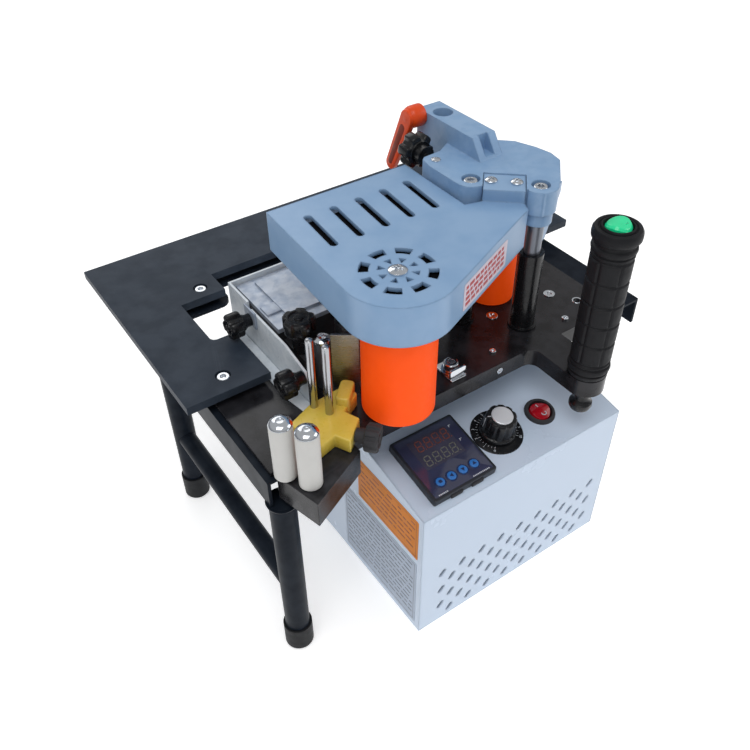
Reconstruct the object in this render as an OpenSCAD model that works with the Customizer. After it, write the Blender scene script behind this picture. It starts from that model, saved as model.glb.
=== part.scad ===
// Portable edge banding machine on a slotted work table
// Origin: on the floor, under the middle of the machine. X right, Y back, Z up, millimetres.

/* [Work table] */
// Length of the table plate
table_w = 320; // [300:1:360]
// Depth of the table plate
table_d = 167; // [150:1:190]
// Thickness of the table plate
table_t = 5.5; // [4:0.5:8]
// Height of the table's upper face
table_z = 178; // [160:1:210]
// Place of the table's back edge
table_back = 142; // [130:1:160]
// Depth of the plate behind the slot
slot_back_d = 54; // [40:1:70]
// Width of the front left finger
finger_w = 54.5; // [48:0.5:60]
// Reach of the front left finger
finger_l = 46.5; // [40:0.5:52]
// Depth of the open pocket
pocket_d = 45.5; // [38:0.5:50]
// How far the pocket's side stands from the table's end
pocket_x = 39; // [34:0.5:44]
// How far the middle finger reaches from the table's end
mid_finger_x = 71; // [64:0.5:78]
// Width of the right finger
right_finger_w = 55; // [45:1:60]
// How far the right finger stands behind the table's front
right_finger_set = 23; // [15:1:35]

/* [Stand] */
// Width of a rail
rail_w = 26; // [24:1:28]
// Height of a rail
rail_h = 20; // [16:1:26]
// Sheet thickness of the rails
rail_t = 2; // [1.5:0.5:3]
// How far a rail stands in from the table's end
rail_inset = 15; // [10:1:18]
// Height of the rails' upper face
rail_z = 164; // [150:1:168]
// Place of the rails' near end
rail_front = -89; // [-95:1:-80]
// Diameter of the legs and the stretcher ends
leg_d = 16; // [14:0.5:20]
// Diameter of the stretcher
stretcher_d = 13; // [10:0.5:14]
// Height of the stretcher
stretcher_z = 63; // [45:1:90]
// Diameter of a foot cap
foot_d = 19; // [18:0.5:24]
// Height of a foot cap
foot_h = 21; // [14:1:28]
// Place of the front leg
leg_front_y = -87.5; // [-90:0.5:-80]
// Place of the back leg
leg_back_y = 71; // [50:1:110]

/* [Base] */
// Sheet thickness of the base plate and of the table's carrier
base_t = 3; // [2:0.5:4]
// Depth of the base plate's front lip
lip_h = 12; // [10:1:18]
// Width of the arm that holds the handle
arm_w = 24; // [20:1:28]
// Place of the handle's axis, to the right
handle_x = 59.5; // [55:0.5:60]
// Place of the handle's axis, to the front
handle_y = -124; // [-130:1:-120]
// Grip diameter
grip_d = 24.5; // [22:0.5:28]
// Diameter of the grip's push switch
push_d = 15; // [12:0.5:18]

/* [Control box] */
// Width of the control box
box_w = 163.5; // [160:0.5:172]
// Height of the control box's front
box_h = 117; // [108:1:122]
// Depth of the control box
box_d = 125; // [118:1:140]
// Place of the box's left side
box_x = -68.5; // [-70:0.5:-66]
// Sheet thickness of the box
box_t = 1.6; // [1.2:0.1:2.5]
// Depth of the sloping control panel
panel_d = 70; // [66:1:74]
// Slope of the control panel, degrees
panel_tilt = 10; // [6:0.5:12]
// Side of the square temperature controller
controller_s = 48; // [46:0.5:50]
// Diameter of the speed dial's plate
dial_d = 35; // [30:1:38]
// Diameter of the speed knob
knob_d = 21; // [18:0.5:24]
// Diameter of the power switch's bezel
rocker_d = 21; // [18:0.5:24]

/* [Rollers] */
// Diameter of the front feed roller
roller_d = 43; // [38:0.5:46]
// Height of the front feed roller's rubber
roller_h = 60; // [50:1:62]
// Diameter of the back roller
back_roller_d = 30.4; // [26:0.2:34]
// Diameter of the roller shafts
shaft_d = 10; // [8:0.5:12]
// Diameter of the glue roller
glue_roller_d = 16; // [12:0.5:18]
// Diameter of the white tape rollers
tape_roller_d = 13; // [10:0.5:14]
// Height of the white tape rollers
tape_roller_h = 38; // [30:1:44]

/* [Top cover] */
// Height of the cover's upper face
cover_z = 260; // [256:0.5:262]
// Depth of the cover's side
cover_h = 25; // [20:0.5:27]
// Wall of the cover
cover_t = 2.5; // [2:0.1:3.5]
// Radius of the cover's round front
cover_r = 32; // [28:0.5:36]

/* [Clamp head] */
// Height of the head plate's upper face
head_z = 268; // [266:0.5:272]
// Thickness of the head plate
head_t = 15; // [12:0.5:18]
// Height of the head's upper arm over the plate
head_arm_h = 12; // [10:1:14]
// Width of the head's upper arm
head_arm_w = 17.5; // [16:0.5:19]
// Length of the head's upper arm
head_arm_l = 54; // [50:1:58]
// Radius of the bore for a guide rod
rod_bore_r = 6.3; // [5:0.1:6.5]

/* [Hidden] */
$fn = 48;
e = 0.02;
run = 0.05;      // radial clearance of a running fit
gap = 0.3;       // gap between neighbours that move apart
table_x0 = -table_w / 2;
table_y0 = table_back - table_d;
slot_y = table_back - slot_back_d;
pocket_y0 = table_y0 + finger_l;
pocket_y1 = pocket_y0 + pocket_d;
table_under = table_z - table_t;
rail_x = table_w / 2 - rail_inset - rail_w / 2;
rail_back = table_back - 7;
leg_x = table_w / 2 - rail_inset - leg_d / 2;
base_z = rail_z + base_t;
base_front = rail_front;
spot = [[-table_w / 2 + 58, slot_y - 10], [-table_w / 2 + 30, table_y0 + 14],
        [table_w / 2 - 30, 18], [table_w / 2 - 30, slot_y + 15]];
box_y = -130;
panel_rise = panel_d * tan(panel_tilt);
box_top = box_h + panel_rise;
riser_y = box_y + panel_d;
controller_x = -33;
controller_s0 = 5.5;
dial_gap = 3;
button_d = 6;
button_s = -14.3;
dial_x = controller_x + controller_s / 2 + dial_d / 2 + dial_gap;
dial_s = 29;
rocker_x = 47;
rocker_s = 27;
front_x = -53;
front_y = -82;
back_x = 61.3;
back_y = -30.7;
glue_x = -58;
glue_y = -38;
roller_z = 170;
cover_in = cover_z - cover_h;
post_a = [58, -66.5];
post_b = [30, -37.5];
post_d = 10.4;
sleeve_d = 15.5;
sleeve_top = 223;
pinion_z = 241;
screw_h = 2.2;
stub_d = 6;
gear_y = riser_y + box_t;
inner_drop = box_t * (tan(panel_tilt) - 1 / cos(panel_tilt));
tab_z = cover_z + 7.4;
tab_w = 24.3;
tab_l = 19;
tab_turn = -42.1;
tab_at = [28, -50.7];
tab_screws = [[38.2, -45.8], [48.7, -56.3]];
arm_x = 47;
arm_back = 37;
arm_top = head_z + head_arm_h;
rod_at = [55.9, 22.3];
lever_off = 7.5;
lever_at = [arm_x - 0.3, 33.5, arm_top - 3];
lock_at = [30, 11, head_z - 3.5];
pot_x0 = -92;
pot_x1 = -44;
pot_y0 = -12;
pot_y1 = 44;
pot_top = 192;
lid_t = 3;
guide_z = 177;
thumb_at = [-90.1, -92.6, 172.5];
thumb_turn = -49.2;
side_knob_at = [15.5, 188];
front_knob_at = [-47, 185];
dose_at = [-84.5, -26.5];
guide_at = [-79, -42.5];
guide_pins = [[-99, -63.6], [-94.7, -73.4]];
feed_line = -74.5;       // the left side of the feed roller as drawn
feed_shift = front_x - roller_d / 2 - feed_line;
tape_a = [-134.4, -91.5];
tape_b = [-126.5, -104.5];

// ---- shared shapes ----

// bar with round ends, drawn flat
module slot2d(l, w) {
    square([l - w, w], center = true);
    for (s = [-1, 1]) translate([s * (l - w) / 2, 0]) circle(d = w);
}

// rectangle with round corners, drawn flat, from its low corner
module rrect(w, d, r) {
    translate([r, 0]) square([w - 2 * r, d]);
    translate([0, r]) square([w, d - 2 * r]);
    for (x = [r, w - r], y = [r, d - r]) translate([x, y]) circle(r = r);
}

// block from its low corner to its high corner
module block(a, b) {
    translate(a) cube(b - a);
}

// lobed hand knob along +Z: a hub and a ring of lobes
module lobed(d, h, lobes) {
    lobe = d * 0.3;
    cylinder(d = d * 0.78, h = h);
    for (i = [0 : lobes - 1]) rotate(i * 360 / lobes)
        translate([d / 2 - lobe / 2, 0, h * 0.1]) cylinder(d = lobe, h = h * 0.8, $fn = 24);
}

// place on the sloping panel: x across, s up the slope
module on_panel(x, s) {
    translate([x, box_y, box_h]) rotate([panel_tilt, 0, 0]) translate([0, s, 0]) children();
}

// ---- work table and stand ----

module table_outline() {
    w = table_w / 2;
    polygon([
        [-w, table_y0], [-w + finger_w, table_y0], [-w + finger_w, pocket_y0],
        [-w + pocket_x, pocket_y0], [-w + pocket_x, pocket_y1], [-w + mid_finger_x, pocket_y1],
        [-w + mid_finger_x, slot_y], [w - right_finger_w, slot_y],
        [w - right_finger_w, table_y0 + right_finger_set], [w, table_y0 + right_finger_set],
        [w, table_back], [-w, table_back]]);
    translate([-w + pocket_x, pocket_y0]) corner2d(4);
}

// fills an inside corner with a fillet, drawn flat
module corner2d(r) {
    difference() {
        square(r);
        translate([r, r]) circle(r = r);
    }
}

module table_plate() color([0.2, 0.21, 0.23]) difference() {
    translate([0, 0, table_under]) linear_extrude(table_t) table_outline();
    for (p = spot) translate([p[0], p[1], 0]) {
        translate([0, 0, table_under - 1]) cylinder(d = 4.6, h = table_t + 2);
        translate([0, 0, table_z - 2.6]) cylinder(d = 9.4, h = 3);
    }
}

module table_screws() color("silver") for (p = spot) translate([p[0], p[1], 0]) {
    translate([0, 0, table_z - 2.6]) cylinder(d = 8, h = 2);
    translate([0, 0, rail_z - 5]) cylinder(d = 4, h = table_z - 2.6 - rail_z + 5);
}

module spacers() color([0.1, 0.1, 0.1]) for (i = [0 : 3]) {
    low = i == 2 ? rail_z : base_z;
    translate([spot[i][0], spot[i][1], low]) difference() {
        cylinder(d = 11, h = table_under - low);
        translate([0, 0, -1]) cylinder(d = 4.6, h = table_under - low + 2);
    }
}

module table_carrier() color([0.12, 0.12, 0.13]) difference() {
    translate([0, 0, rail_z]) linear_extrude(base_t) {
        end = rail_x + rail_w / 2;
        translate([-end, slot_y]) square([2 * end, 30]);
        translate([-end, pocket_y1]) square([mid_finger_x - rail_inset - 4, slot_y - pocket_y1 + 1]);
        translate([-end + mid_finger_x - rail_inset - 4, pocket_y1 + 8]) circle(r = 8);
        translate([-end + 40, pocket_y1 + 8]) square([mid_finger_x - rail_inset - 36, 20]);
    }
    for (p = spot) translate([p[0], p[1], rail_z - 1]) cylinder(d = 4.6, h = base_t + 2);
}

// rail bent from sheet, open below
module rail() difference() {
    block([-rail_w / 2, rail_front, rail_z - rail_h], [rail_w / 2, rail_back, rail_z]);
    block([-rail_w / 2 + rail_t, rail_front - 1, rail_z - rail_h - 1],
          [rail_w / 2 - rail_t, rail_back + 1, rail_z - rail_t]);
}

module left_rail() color([0.14, 0.14, 0.15]) difference() {
    translate([-rail_x, 0, 0]) rail();
    for (p = spot) translate([p[0], p[1], rail_z - 9]) cylinder(d = 4.6, h = 10);
}

module right_rail() color([0.14, 0.14, 0.15]) difference() {
    translate([rail_x, 0, 0]) rail();
    for (p = spot) translate([p[0], p[1], rail_z - 9]) cylinder(d = 4.6, h = 10);
}

module leg(y) translate([-leg_x, y, 3]) cylinder(d = leg_d, h = rail_z - rail_h - 3);

module front_leg() color([0.1, 0.1, 0.11]) leg(leg_front_y);

module back_leg() color([0.1, 0.1, 0.11]) leg(leg_back_y);

module stretcher() color([0.1, 0.1, 0.11]) difference() {
    translate([-leg_x, leg_front_y, stretcher_z]) rotate([-90, 0, 0])
        cylinder(d = stretcher_d, h = leg_back_y - leg_front_y);
    for (y = [leg_front_y, leg_back_y]) translate([-leg_x, y, stretcher_z - 20])
        cylinder(d = leg_d, h = 40);
}

module foot_caps() color([0.06, 0.06, 0.06]) for (y = [leg_front_y, leg_back_y])
    translate([-leg_x, y, 0]) difference() {
        union() {
            cylinder(d1 = foot_d - 2, d2 = foot_d, h = 1.5);
            translate([0, 0, 1.5]) cylinder(d = foot_d, h = foot_h - 1.5);
        }
        translate([0, 0, 3]) cylinder(d = leg_d, h = foot_h);
    }

// ---- base plate ----

module base_outline() {
    right = rail_x - rail_w / 2 + 3;
    arm0 = handle_x - arm_w / 2;
    polygon([[-rail_x - rail_w / 2 + 4, base_front + 3], [-rail_x + rail_w / 2 + 1, base_front + 3],
             [-rail_x + rail_w / 2 + 1, base_front], [right, base_front], [right, 40],
             [-98, 40], [-98, 16], [-rail_x - rail_w / 2 + 4, 16]]);
    translate([arm0, handle_y]) square([arm_w, base_front - handle_y + 1]);
    translate([handle_x, handle_y]) circle(d = arm_w);
    translate([arm0, base_front]) rotate(180) corner2d(7);
}

module base_plate() color([0.1, 0.1, 0.11]) difference() {
    union() {
        translate([0, 0, rail_z]) linear_extrude(base_t) base_outline();
        block([-90, base_front, base_z - lip_h],
              [rail_x - rail_w / 2 - 1, base_front + base_t, rail_z + e]);
        translate([0, 0, base_z - lip_h]) linear_extrude(lip_h) {
            translate([handle_x - arm_w / 2, handle_y]) square([arm_w, base_front - handle_y + 3]);
            translate([handle_x, handle_y]) circle(d = arm_w);
            translate([handle_x - arm_w / 2, base_front]) rotate(180) corner2d(7);
        }
    }
    translate([front_x, front_y, rail_z - 1]) cylinder(d = stub_d + 2 * gap, h = base_t + 2);
    translate([spot[1][0], spot[1][1], rail_z - 1]) cylinder(d = 4.6, h = base_t + 2);
    translate([back_x, back_y, rail_z - 1]) cylinder(d = shaft_d + 2 * run, h = base_t + 2);
    translate([glue_x, glue_y, rail_z - 1]) cylinder(d = 5 + 2 * run, h = base_t + 2);
    translate([guide_at[0] + feed_shift, guide_at[1], rail_z - 1])
        cylinder(r = 2 + run, h = base_t + 2);
    translate([106, -69, rail_z - 1]) cylinder(d = 5, h = base_t + 2);
    translate([handle_x, handle_y, base_z - lip_h - 1]) cylinder(d = 8.4, h = lip_h + 2);
}

// countersunk heads and small bolts let into or standing on the base plate
module base_screws() color("silver") {
    for (p = [[95.7, -52.8], [47.7, -49]]) translate([p[0], p[1], base_z]) cylinder(d1 = 8, d2 = 7, h = 0.6);
    for (p = [[84.7, -79.3], [23.6, -77.4]])
        translate([p[0], p[1], base_z]) cylinder(d1 = 4, d2 = 3, h = 1.4);
    translate([-10, -77, base_z]) {
        block([-6, -9, 0], [6, 9, 1.5]);
        block([-6, -9, 0], [6, -7.5, 8]);
        cylinder(d = 9, h = 9);
    }
}

// ---- control box ----

module box_side() polygon([[box_y, 0], [box_y, box_h], [riser_y, box_top], [riser_y, rail_z],
                           [box_y + box_d, rail_z], [box_y + box_d, 0]]);

module box_hollow() polygon([[box_y + box_t, -1], [box_y + box_t, box_h + inner_drop],
    [gear_y, box_top + inner_drop], [gear_y, rail_z + 1], [box_y + box_d - box_t, rail_z + 1],
    [box_y + box_d - box_t, -1]]);

module along_x(x0, l) translate([x0, 0, 0]) rotate([90, 0, 90]) linear_extrude(l) children();

module vents() {
    pitch_x = 8.3;
    pitch_z = 9;
    for (k = [0 : 10], j = [0 : 5]) {
        x = box_x - 15.7 + k * 2 * pitch_x + j * pitch_x;
        if (x > box_x + 15 && x < box_x + 151)
            translate([x, box_y - 1, 53 - j * pitch_z]) rotate([-90, 0, 0]) rotate(-52)
                linear_extrude(box_t + 3) slot2d(7.2, 3.2);
    }
}

module box_shell() color([0.9, 0.91, 0.93]) difference() {
    along_x(box_x, box_w) box_side();
    along_x(box_x + box_t, box_w - 2 * box_t) box_hollow();
    vents();
    on_panel(controller_x, controller_s0 + controller_s / 2)
        cube([controller_s - 3, controller_s - 3, 20], center = true);
    on_panel(dial_x, dial_s) cylinder(d = 7, h = 20, center = true);
    on_panel(rocker_x, rocker_s) cylinder(d = rocker_d - 3, h = 20, center = true);
    translate([box_x + box_w - 28, box_y + box_d, 30]) rotate([90, 0, 0])
        cylinder(d = 12, h = 10, center = true);
    // notch for the drive's front bearing
    block([front_x - 12, riser_y - 1, 152], [front_x + 12, gear_y + 1, rail_z + 1]);
}

module box_floor() color([0.75, 0.76, 0.78]) block([box_x + box_t + 0.2, box_y + box_t + 0.2, 0],
    [box_x + box_w - box_t - 0.2, box_y + box_d - box_t - 0.2, box_t]);

module controller() color([0.09, 0.1, 0.13]) on_panel(controller_x, controller_s0 + controller_s / 2)
    difference() {
        union() {
            translate([-controller_s / 2, -controller_s / 2, 0])
                linear_extrude(6) rrect(controller_s, controller_s, 1.5);
            translate([0, 0, -24 + e]) cube([44, 44, 48], center = true);
        }
        translate([-20.5, -10.5, 4.6]) cube([41, 31, 5]);
        for (i = [-1.5 : 1.5]) translate([i * 8.7, button_s, 3.2])
            cylinder(d = button_d + 2 * gap, h = 5);
    }

module display() color([0.2, 0.22, 0.4]) on_panel(controller_x, controller_s0 + controller_s / 2)
    translate([-20.3, -10.3, 4.6]) cube([40.6, 30.6, 0.9]);

module button(i) color([0.1, 0.35, 0.8]) on_panel(controller_x, controller_s0 + controller_s / 2)
    translate([(i - 2.5) * 8.7, button_s, 4.1]) cylinder(d = button_d, h = 2.6);

module button_1() button(1);

module button_2() button(2);

module button_3() button(3);

module button_4() button(4);

module dial_plate() color([0.08, 0.08, 0.09]) on_panel(dial_x, dial_s) difference() {
    cylinder(d = dial_d, h = 1);
    translate([0, 0, -1]) cylinder(d = 7, h = 3);
}

module speed_knob() color([0.07, 0.07, 0.07]) on_panel(dial_x, dial_s) translate([0, 0, 1.4]) {
    cylinder(d = knob_d + 3, h = 3);
    translate([0, 0, 3 - e]) cylinder(d1 = knob_d, d2 = knob_d - 1.5, h = 13);
    translate([0, 0, 6]) for (i = [0 : 9]) rotate(i * 36)
        translate([knob_d / 2 - 1.4, 0, 0]) cylinder(d = 3.6, h = 10, $fn = 24);
    translate([0, 0, -box_t - 4.4]) cylinder(d = 6, h = box_t + 5);
}

module knob_cap() color([0.85, 0.86, 0.88]) on_panel(dial_x, dial_s)
    translate([0, 0, 17.4 + e]) cylinder(d = 14, h = 0.8);

module potentiometer() color([0.4, 0.42, 0.4]) on_panel(dial_x, dial_s) difference() {
    translate([0, 0, -box_t - 12]) cylinder(d = 17, h = 12);
    translate([0, 0, -box_t - 5]) cylinder(r = 3 + run, h = 6);
}

module switch_bezel() color([0.08, 0.08, 0.09]) on_panel(rocker_x, rocker_s) difference() {
    union() {
        cylinder(d = rocker_d, h = 2.4);
        translate([0, 0, -18]) cylinder(d = rocker_d - 3.4, h = 18.1);
    }
    translate([0, 0, -6]) cylinder(d = rocker_d - 5, h = 10);
}

module power_rocker() color([0.65, 0.08, 0.12]) on_panel(rocker_x, rocker_s) intersection() {
    cylinder(d = rocker_d - 6.6, h = 12, center = true);
    translate([0, 0, -11.5]) rotate([0, 90, 0]) cylinder(r = 15, h = 30, center = true);
    translate([0, 0, 1]) cube([30, 30, 9], center = true);
}

// ---- drive, inside the box and over the base plate ----

module gearbox() color([0.55, 0.56, 0.58]) difference() {
    union() {
        block([front_x - 13, gear_y, 132], [back_x + 20, -8, rail_z]);
        // bearing arm under the front roller
        block([front_x - 11, front_y - 3.9, 153], [front_x + 11, gear_y + 1, rail_z]);
    }
    translate([front_x, front_y, 152]) cylinder(d = stub_d + 2 * run, h = 20);
    translate([back_x, back_y, 131]) cylinder(d = shaft_d + 2 * run, h = 40);
    block([front_x + 20, gear_y - 1, 131], [back_x - 20, -46, 150]);
}

module drive_motor() color([0.3, 0.32, 0.35]) {
    translate([20, -34, 46]) cylinder(d = 46, h = 80);
    translate([20, -34, 126 - e]) cylinder(d = 28, h = 6);
}

module speed_board() color([0.1, 0.4, 0.2]) {
    block([box_x + 12, box_y + 14, 9], [box_x + 92, box_y + 74, 10.6]);
    block([box_x + 20, box_y + 20, 10.6 - e], [box_x + 44, box_y + 44, 34]);
    block([box_x + 56, box_y + 30, 10.6 - e], [box_x + 84, box_y + 50, 22]);
    for (x = [box_x + 15, box_x + 89], y = [box_y + 17, box_y + 71])
        translate([x, y, box_t]) cylinder(d = 5, h = 9 - box_t + e);
}

module cable_gland() color([0.1, 0.1, 0.1]) translate([box_x + box_w - 28, box_y + box_d, 30])
    rotate([90, 0, 0]) difference() {
        union() {
            translate([0, 0, -12]) cylinder(d = 18, h = 4);
            translate([0, 0, -8.1]) cylinder(d = 22, h = 8.1, $fn = 6);
            translate([0, 0, -0.1]) cylinder(d = 11.8, h = 6);
        }
        translate([0, 0, -13]) cylinder(d = 7, h = 30);
    }

// feed roller's rubber, with its steel wheel inside
module roller(d, h) difference() {
    cylinder(d = d, h = h);
    translate([0, 0, -1]) cylinder(d = shaft_d, h = h + 2);
}

module front_roller() color([1, 0.4, 0.1]) translate([front_x, front_y, roller_z])
    roller(roller_d, roller_h);

module front_shaft() color("silver") translate([front_x, front_y, 0]) {
    translate([0, 0, 154]) cylinder(d = stub_d, h = 15);
    translate([0, 0, base_z]) cylinder(d = shaft_d, h = pinion_z - base_z);
    translate([0, 0, pinion_z - 4]) cylinder(d = 30, h = 6);
}

module back_roller() color([1, 0.36, 0.08]) translate([back_x, back_y, roller_z])
    roller(back_roller_d, roller_h - 2);

module back_shaft() color("silver") translate([back_x, back_y, 0]) {
    translate([0, 0, 140]) cylinder(d = shaft_d, h = head_z - head_t - 140 + 8);
}

module glue_roller() color([0.78, 0.7, 0.4]) translate([glue_x, glue_y, 0]) {
    translate([0, 0, roller_z]) cylinder(d = glue_roller_d, h = 40);
    translate([0, 0, rail_z]) cylinder(d = 5, h = 7);
    translate([0, 0, roller_z + 40 - e]) cylinder(d = 6, h = pinion_z - roller_z - 40);
    translate([0, 0, pinion_z - 4]) cylinder(d = 12, h = 6);
}

module drive_belt() color([0.12, 0.12, 0.12]) translate([0, 0, pinion_z - 3.5]) difference() {
    hull() {
        translate([front_x, front_y, 0]) cylinder(d = 33.4, h = 5, $fn = 48);
        translate([glue_x, glue_y, 0]) cylinder(d = 15.4, h = 5, $fn = 32);
    }
    translate([0, 0, -1]) hull() {
        translate([front_x, front_y, 0]) cylinder(d = 30.6, h = 7, $fn = 48);
        translate([glue_x, glue_y, 0]) cylinder(d = 12.6, h = 7, $fn = 32);
    }
}

// ---- top cover ----

// outline of the tab, grown by a margin; depth can be shortened
module cover_tab(more, depth = tab_l) translate(tab_at) rotate(tab_turn)
    translate([-more, -e]) square([tab_w + 2 * more, depth + more]);

// outline of the cover, set in by a wall
module cover_outline(in) {
    c = [front_x + 0.5, front_y + 2];
    r = cover_r - in;
    right = c + r * [cos(-66.5), sin(-66.5)];
    left = c + r * [cos(177), sin(177)];
    back = table_back - 131 - in;
    polygon([c, left, [table_x0 + 80.5 + in, back], [18.5 - in, back], [17.5 - in, -48 - in * 0.8],
             tab_at - [0, in * 1.2], [46 - in * 1.5, -67 - in * 0.6], [43.2 - in * 1.6, -73.3 + in * 0.4],
             right]);
    translate(c) circle(r = r);
}

// ring of arc slots and a ring of small openings round the cover screw
module grille() {
    for (i = [0 : 7]) rotate(i * 45 + 32.5) {
        rotate_extrude(angle = 27) translate([15.7, 0]) square([5.3, 30]);
        rotate(10) translate([9.4, 0, 0]) linear_extrude(30) polygon([[-2.6, 0], [1.6, 2], [1.6, -2]]);
    }
}

module top_cover() color([0.53, 0.65, 0.8]) difference() {
    union() {
        difference() {
            translate([0, 0, cover_in]) linear_extrude(cover_h) cover_outline(0);
            translate([0, 0, cover_in - 1]) linear_extrude(cover_h - cover_t + 1) cover_outline(cover_t);
        }
        // raised tab that lies on the clamp head, and the boss under the cover screw
        translate([0, 0, cover_z]) linear_extrude(tab_z - cover_z) cover_tab(0);
        translate([0, 0, cover_z - 1]) linear_extrude(2) cover_tab(0, 3);
        translate([front_x, front_y + 2, cover_z - 12]) cylinder(d = 9, h = 10);
    }
    for (i = [0 : 4]) translate([-64.5 + i * 17.2, -23.5, cover_z - 5]) rotate(85)
        linear_extrude(9) slot2d(36, 4.8);
    translate([front_x + 0.8, front_y + 2.4, cover_z - 6]) grille();
    translate([front_x, front_y + 2, cover_z - 10]) cylinder(d = 4, h = 12);
    for (p = tab_screws) translate([p[0], p[1], cover_z - 1]) cylinder(d = 3.6, h = 10);
}

module cover_screw() color("silver") translate([front_x, front_y + 2, cover_z]) {
    cylinder(d1 = 10.5, d2 = 7, h = screw_h);
    translate([0, 0, -10]) cylinder(d = 4, h = 10 + e);
}

// ---- clamp head and its posts ----

module posts() color([0.6, 0.62, 0.66]) for (p = [post_a, post_b])
    translate([p[0], p[1], base_z]) cylinder(d = post_d, h = head_z - head_t - base_z);

module sleeves() color([0.07, 0.07, 0.08]) for (p = [post_a, post_b])
    translate([p[0], p[1], base_z]) difference() {
        union() {
            cylinder(d = sleeve_d, h = sleeve_top - base_z);
            cylinder(d = sleeve_d + 3, h = 2);
        }
        translate([0, 0, -1]) cylinder(d = post_d, h = 80);
    }

module head_outline() {
    polygon([[24, -0.5], [21.5, -2.5], [19.8, -12], [19.8, -38], [30, -44], [47, -60], [52, -76],
             [62, -76], [70, -70], [88, -51], [90, -41], [88, -30], [83, -16.5], [76, -9.6],
             [64, -4], [arm_x + 1, 7], [37, 0.5]]);
    translate(post_b) circle(r = 10.2);
    translate(post_a) circle(r = 10.5);
}

// side of the head's upper arm, with the sloping front end
module arm_side() polygon([[arm_back - head_arm_l - head_arm_h + 1, head_z - 3],
    [arm_back - head_arm_l, arm_top], [arm_back, arm_top], [arm_back, head_z - head_t + 2],
    [-20, head_z - head_t + 2]]);

module clamp_head() color([0.53, 0.65, 0.8]) difference() {
    union() {
        translate([0, 0, head_z - head_t]) linear_extrude(head_t) head_outline();
        translate([post_a[0], post_a[1], head_z - head_t - 8]) cylinder(r = 9, h = 9);
        along_x(arm_x, head_arm_w) arm_side();
        // gusset from the plate's right end down to the right post
        translate([post_a[0], post_a[1], 0]) rotate([90, 0, 27.3]) translate([0, 0, -3])
            linear_extrude(6) polygon([[6, head_z - head_t + 1], [35, head_z - head_t + 1],
                [35, head_z - head_t - 6], [13.5, sleeve_top + 3], [8, sleeve_top + 3],
                [8, head_z - head_t - 7], [6, head_z - head_t - 7]]);
    }
    // pocket in the sloping end
    block([arm_x + 5, -35, head_z + 1.5], [arm_x + head_arm_w - 5.5, arm_back - head_arm_l + 1.5, arm_top + 1]);
    translate([rod_at[0], rod_at[1], 250]) cylinder(r = rod_bore_r, h = 60);
    translate([arm_x - 1, lever_at[1], lever_at[2]]) rotate([0, 90, 0]) cylinder(r = 2 + run, h = 20);
    translate([lock_at[0], 2, lock_at[2]]) rotate([90, 0, 0]) cylinder(r = 2 + run, h = 17);
    // step for the cover's tab
    translate([0, 0, cover_z]) linear_extrude(20) cover_tab(gap);
    translate([0, 0, head_z - head_t - 1]) linear_extrude(20) cover_tab(gap + 1, 1);
    for (p = tab_screws) translate([p[0], p[1], cover_z - 6]) cylinder(d = 3, h = 8);
    translate([27.6, -7.6, head_z - 1.2]) cylinder(d = 3, h = 3);
    for (p = [post_a, post_b]) translate([p[0], p[1], 0]) {
        translate([0, 0, head_z - 4]) cylinder(d = 11, h = 6);
        translate([0, 0, head_z - head_t - 9]) cylinder(d = 5, h = 20);
    }
    translate([post_a[0], post_a[1], head_z - head_t - 9]) cylinder(d = post_d, h = 9);
    translate([back_x, back_y, head_z - head_t - 1]) cylinder(d = shaft_d + 2 * run, h = 10);
}

module head_screws() color("silver") {
    for (p = [post_a, post_b]) translate([p[0], p[1], head_z - 4]) {
        cylinder(d = 8.5, h = 3.4);
        translate([0, 0, -head_t + 4]) cylinder(d = 5, h = head_t - 4);
    }
    for (p = tab_screws) translate([p[0], p[1], tab_z]) {
        cylinder(d1 = 7.4, d2 = 5, h = screw_h);
        translate([0, 0, cover_z - 6 - tab_z]) cylinder(d = 3, h = tab_z - cover_z + 6 + e);
    }
    translate([27.6, -7.6, head_z - 1.2]) cylinder(d = 3, h = 1.2 + e);
    translate([27.6, -7.6, head_z]) cylinder(d1 = 6, d2 = 5, h = 1);
}

module clamp_lever() color([0.92, 0.32, 0.12]) translate(lever_at) {
    rotate([0, -90, 0]) cylinder(d = 14, h = lever_off);
    rotate([0, 90, 0]) cylinder(d = 4, h = 16);
    hull() {
        translate([-lever_off, 0, 0]) rotate([0, -90, 0]) cylinder(d = 11, h = 4.5, $fn = 24);
        translate([-lever_off, 17, -37]) rotate([0, -90, 0]) cylinder(d = 8.5, h = 4.5, $fn = 24);
    }
}

module head_knob() color([0.08, 0.08, 0.08]) translate(lock_at) rotate([-90, 0, 0]) {
    lobed(22, 10, 6);
    translate([0, 0, -6]) cylinder(d = 12, h = 6 + e);
    translate([0, 0, -24]) cylinder(d = 4, h = 19);
}

// ---- glue pot ----

module glue_pot() color([0.55, 0.56, 0.58]) difference() {
    union() {
        block([pot_x0, pot_y0, base_z], [pot_x1, pot_y1, pot_top]);
        block([pot_x0 + 4, -37, base_z], [pot_x0 + 18, pot_y0 + 1, pot_top - 6]);
    }
    block([pot_x0 + 7, pot_y0 + 7, base_z + 6], [pot_x1 - 7, pot_y1 - 7, pot_top + 1]);
    for (y = [0, 32]) translate([pot_x0 + 10, y, base_z + 3]) rotate([0, 90, 0])
        cylinder(d = 5.1, h = 36);
    translate([pot_x0 - 1, side_knob_at[0], side_knob_at[1]]) rotate([0, 90, 0])
        cylinder(r = 2.5 + run, h = 6.5);
}

module heaters() color([0.8, 0.8, 0.78]) for (y = [0, 32])
    translate([pot_x0 + 10.2, y, base_z + 3]) rotate([0, 90, 0]) cylinder(d = 5, h = 34);

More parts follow.
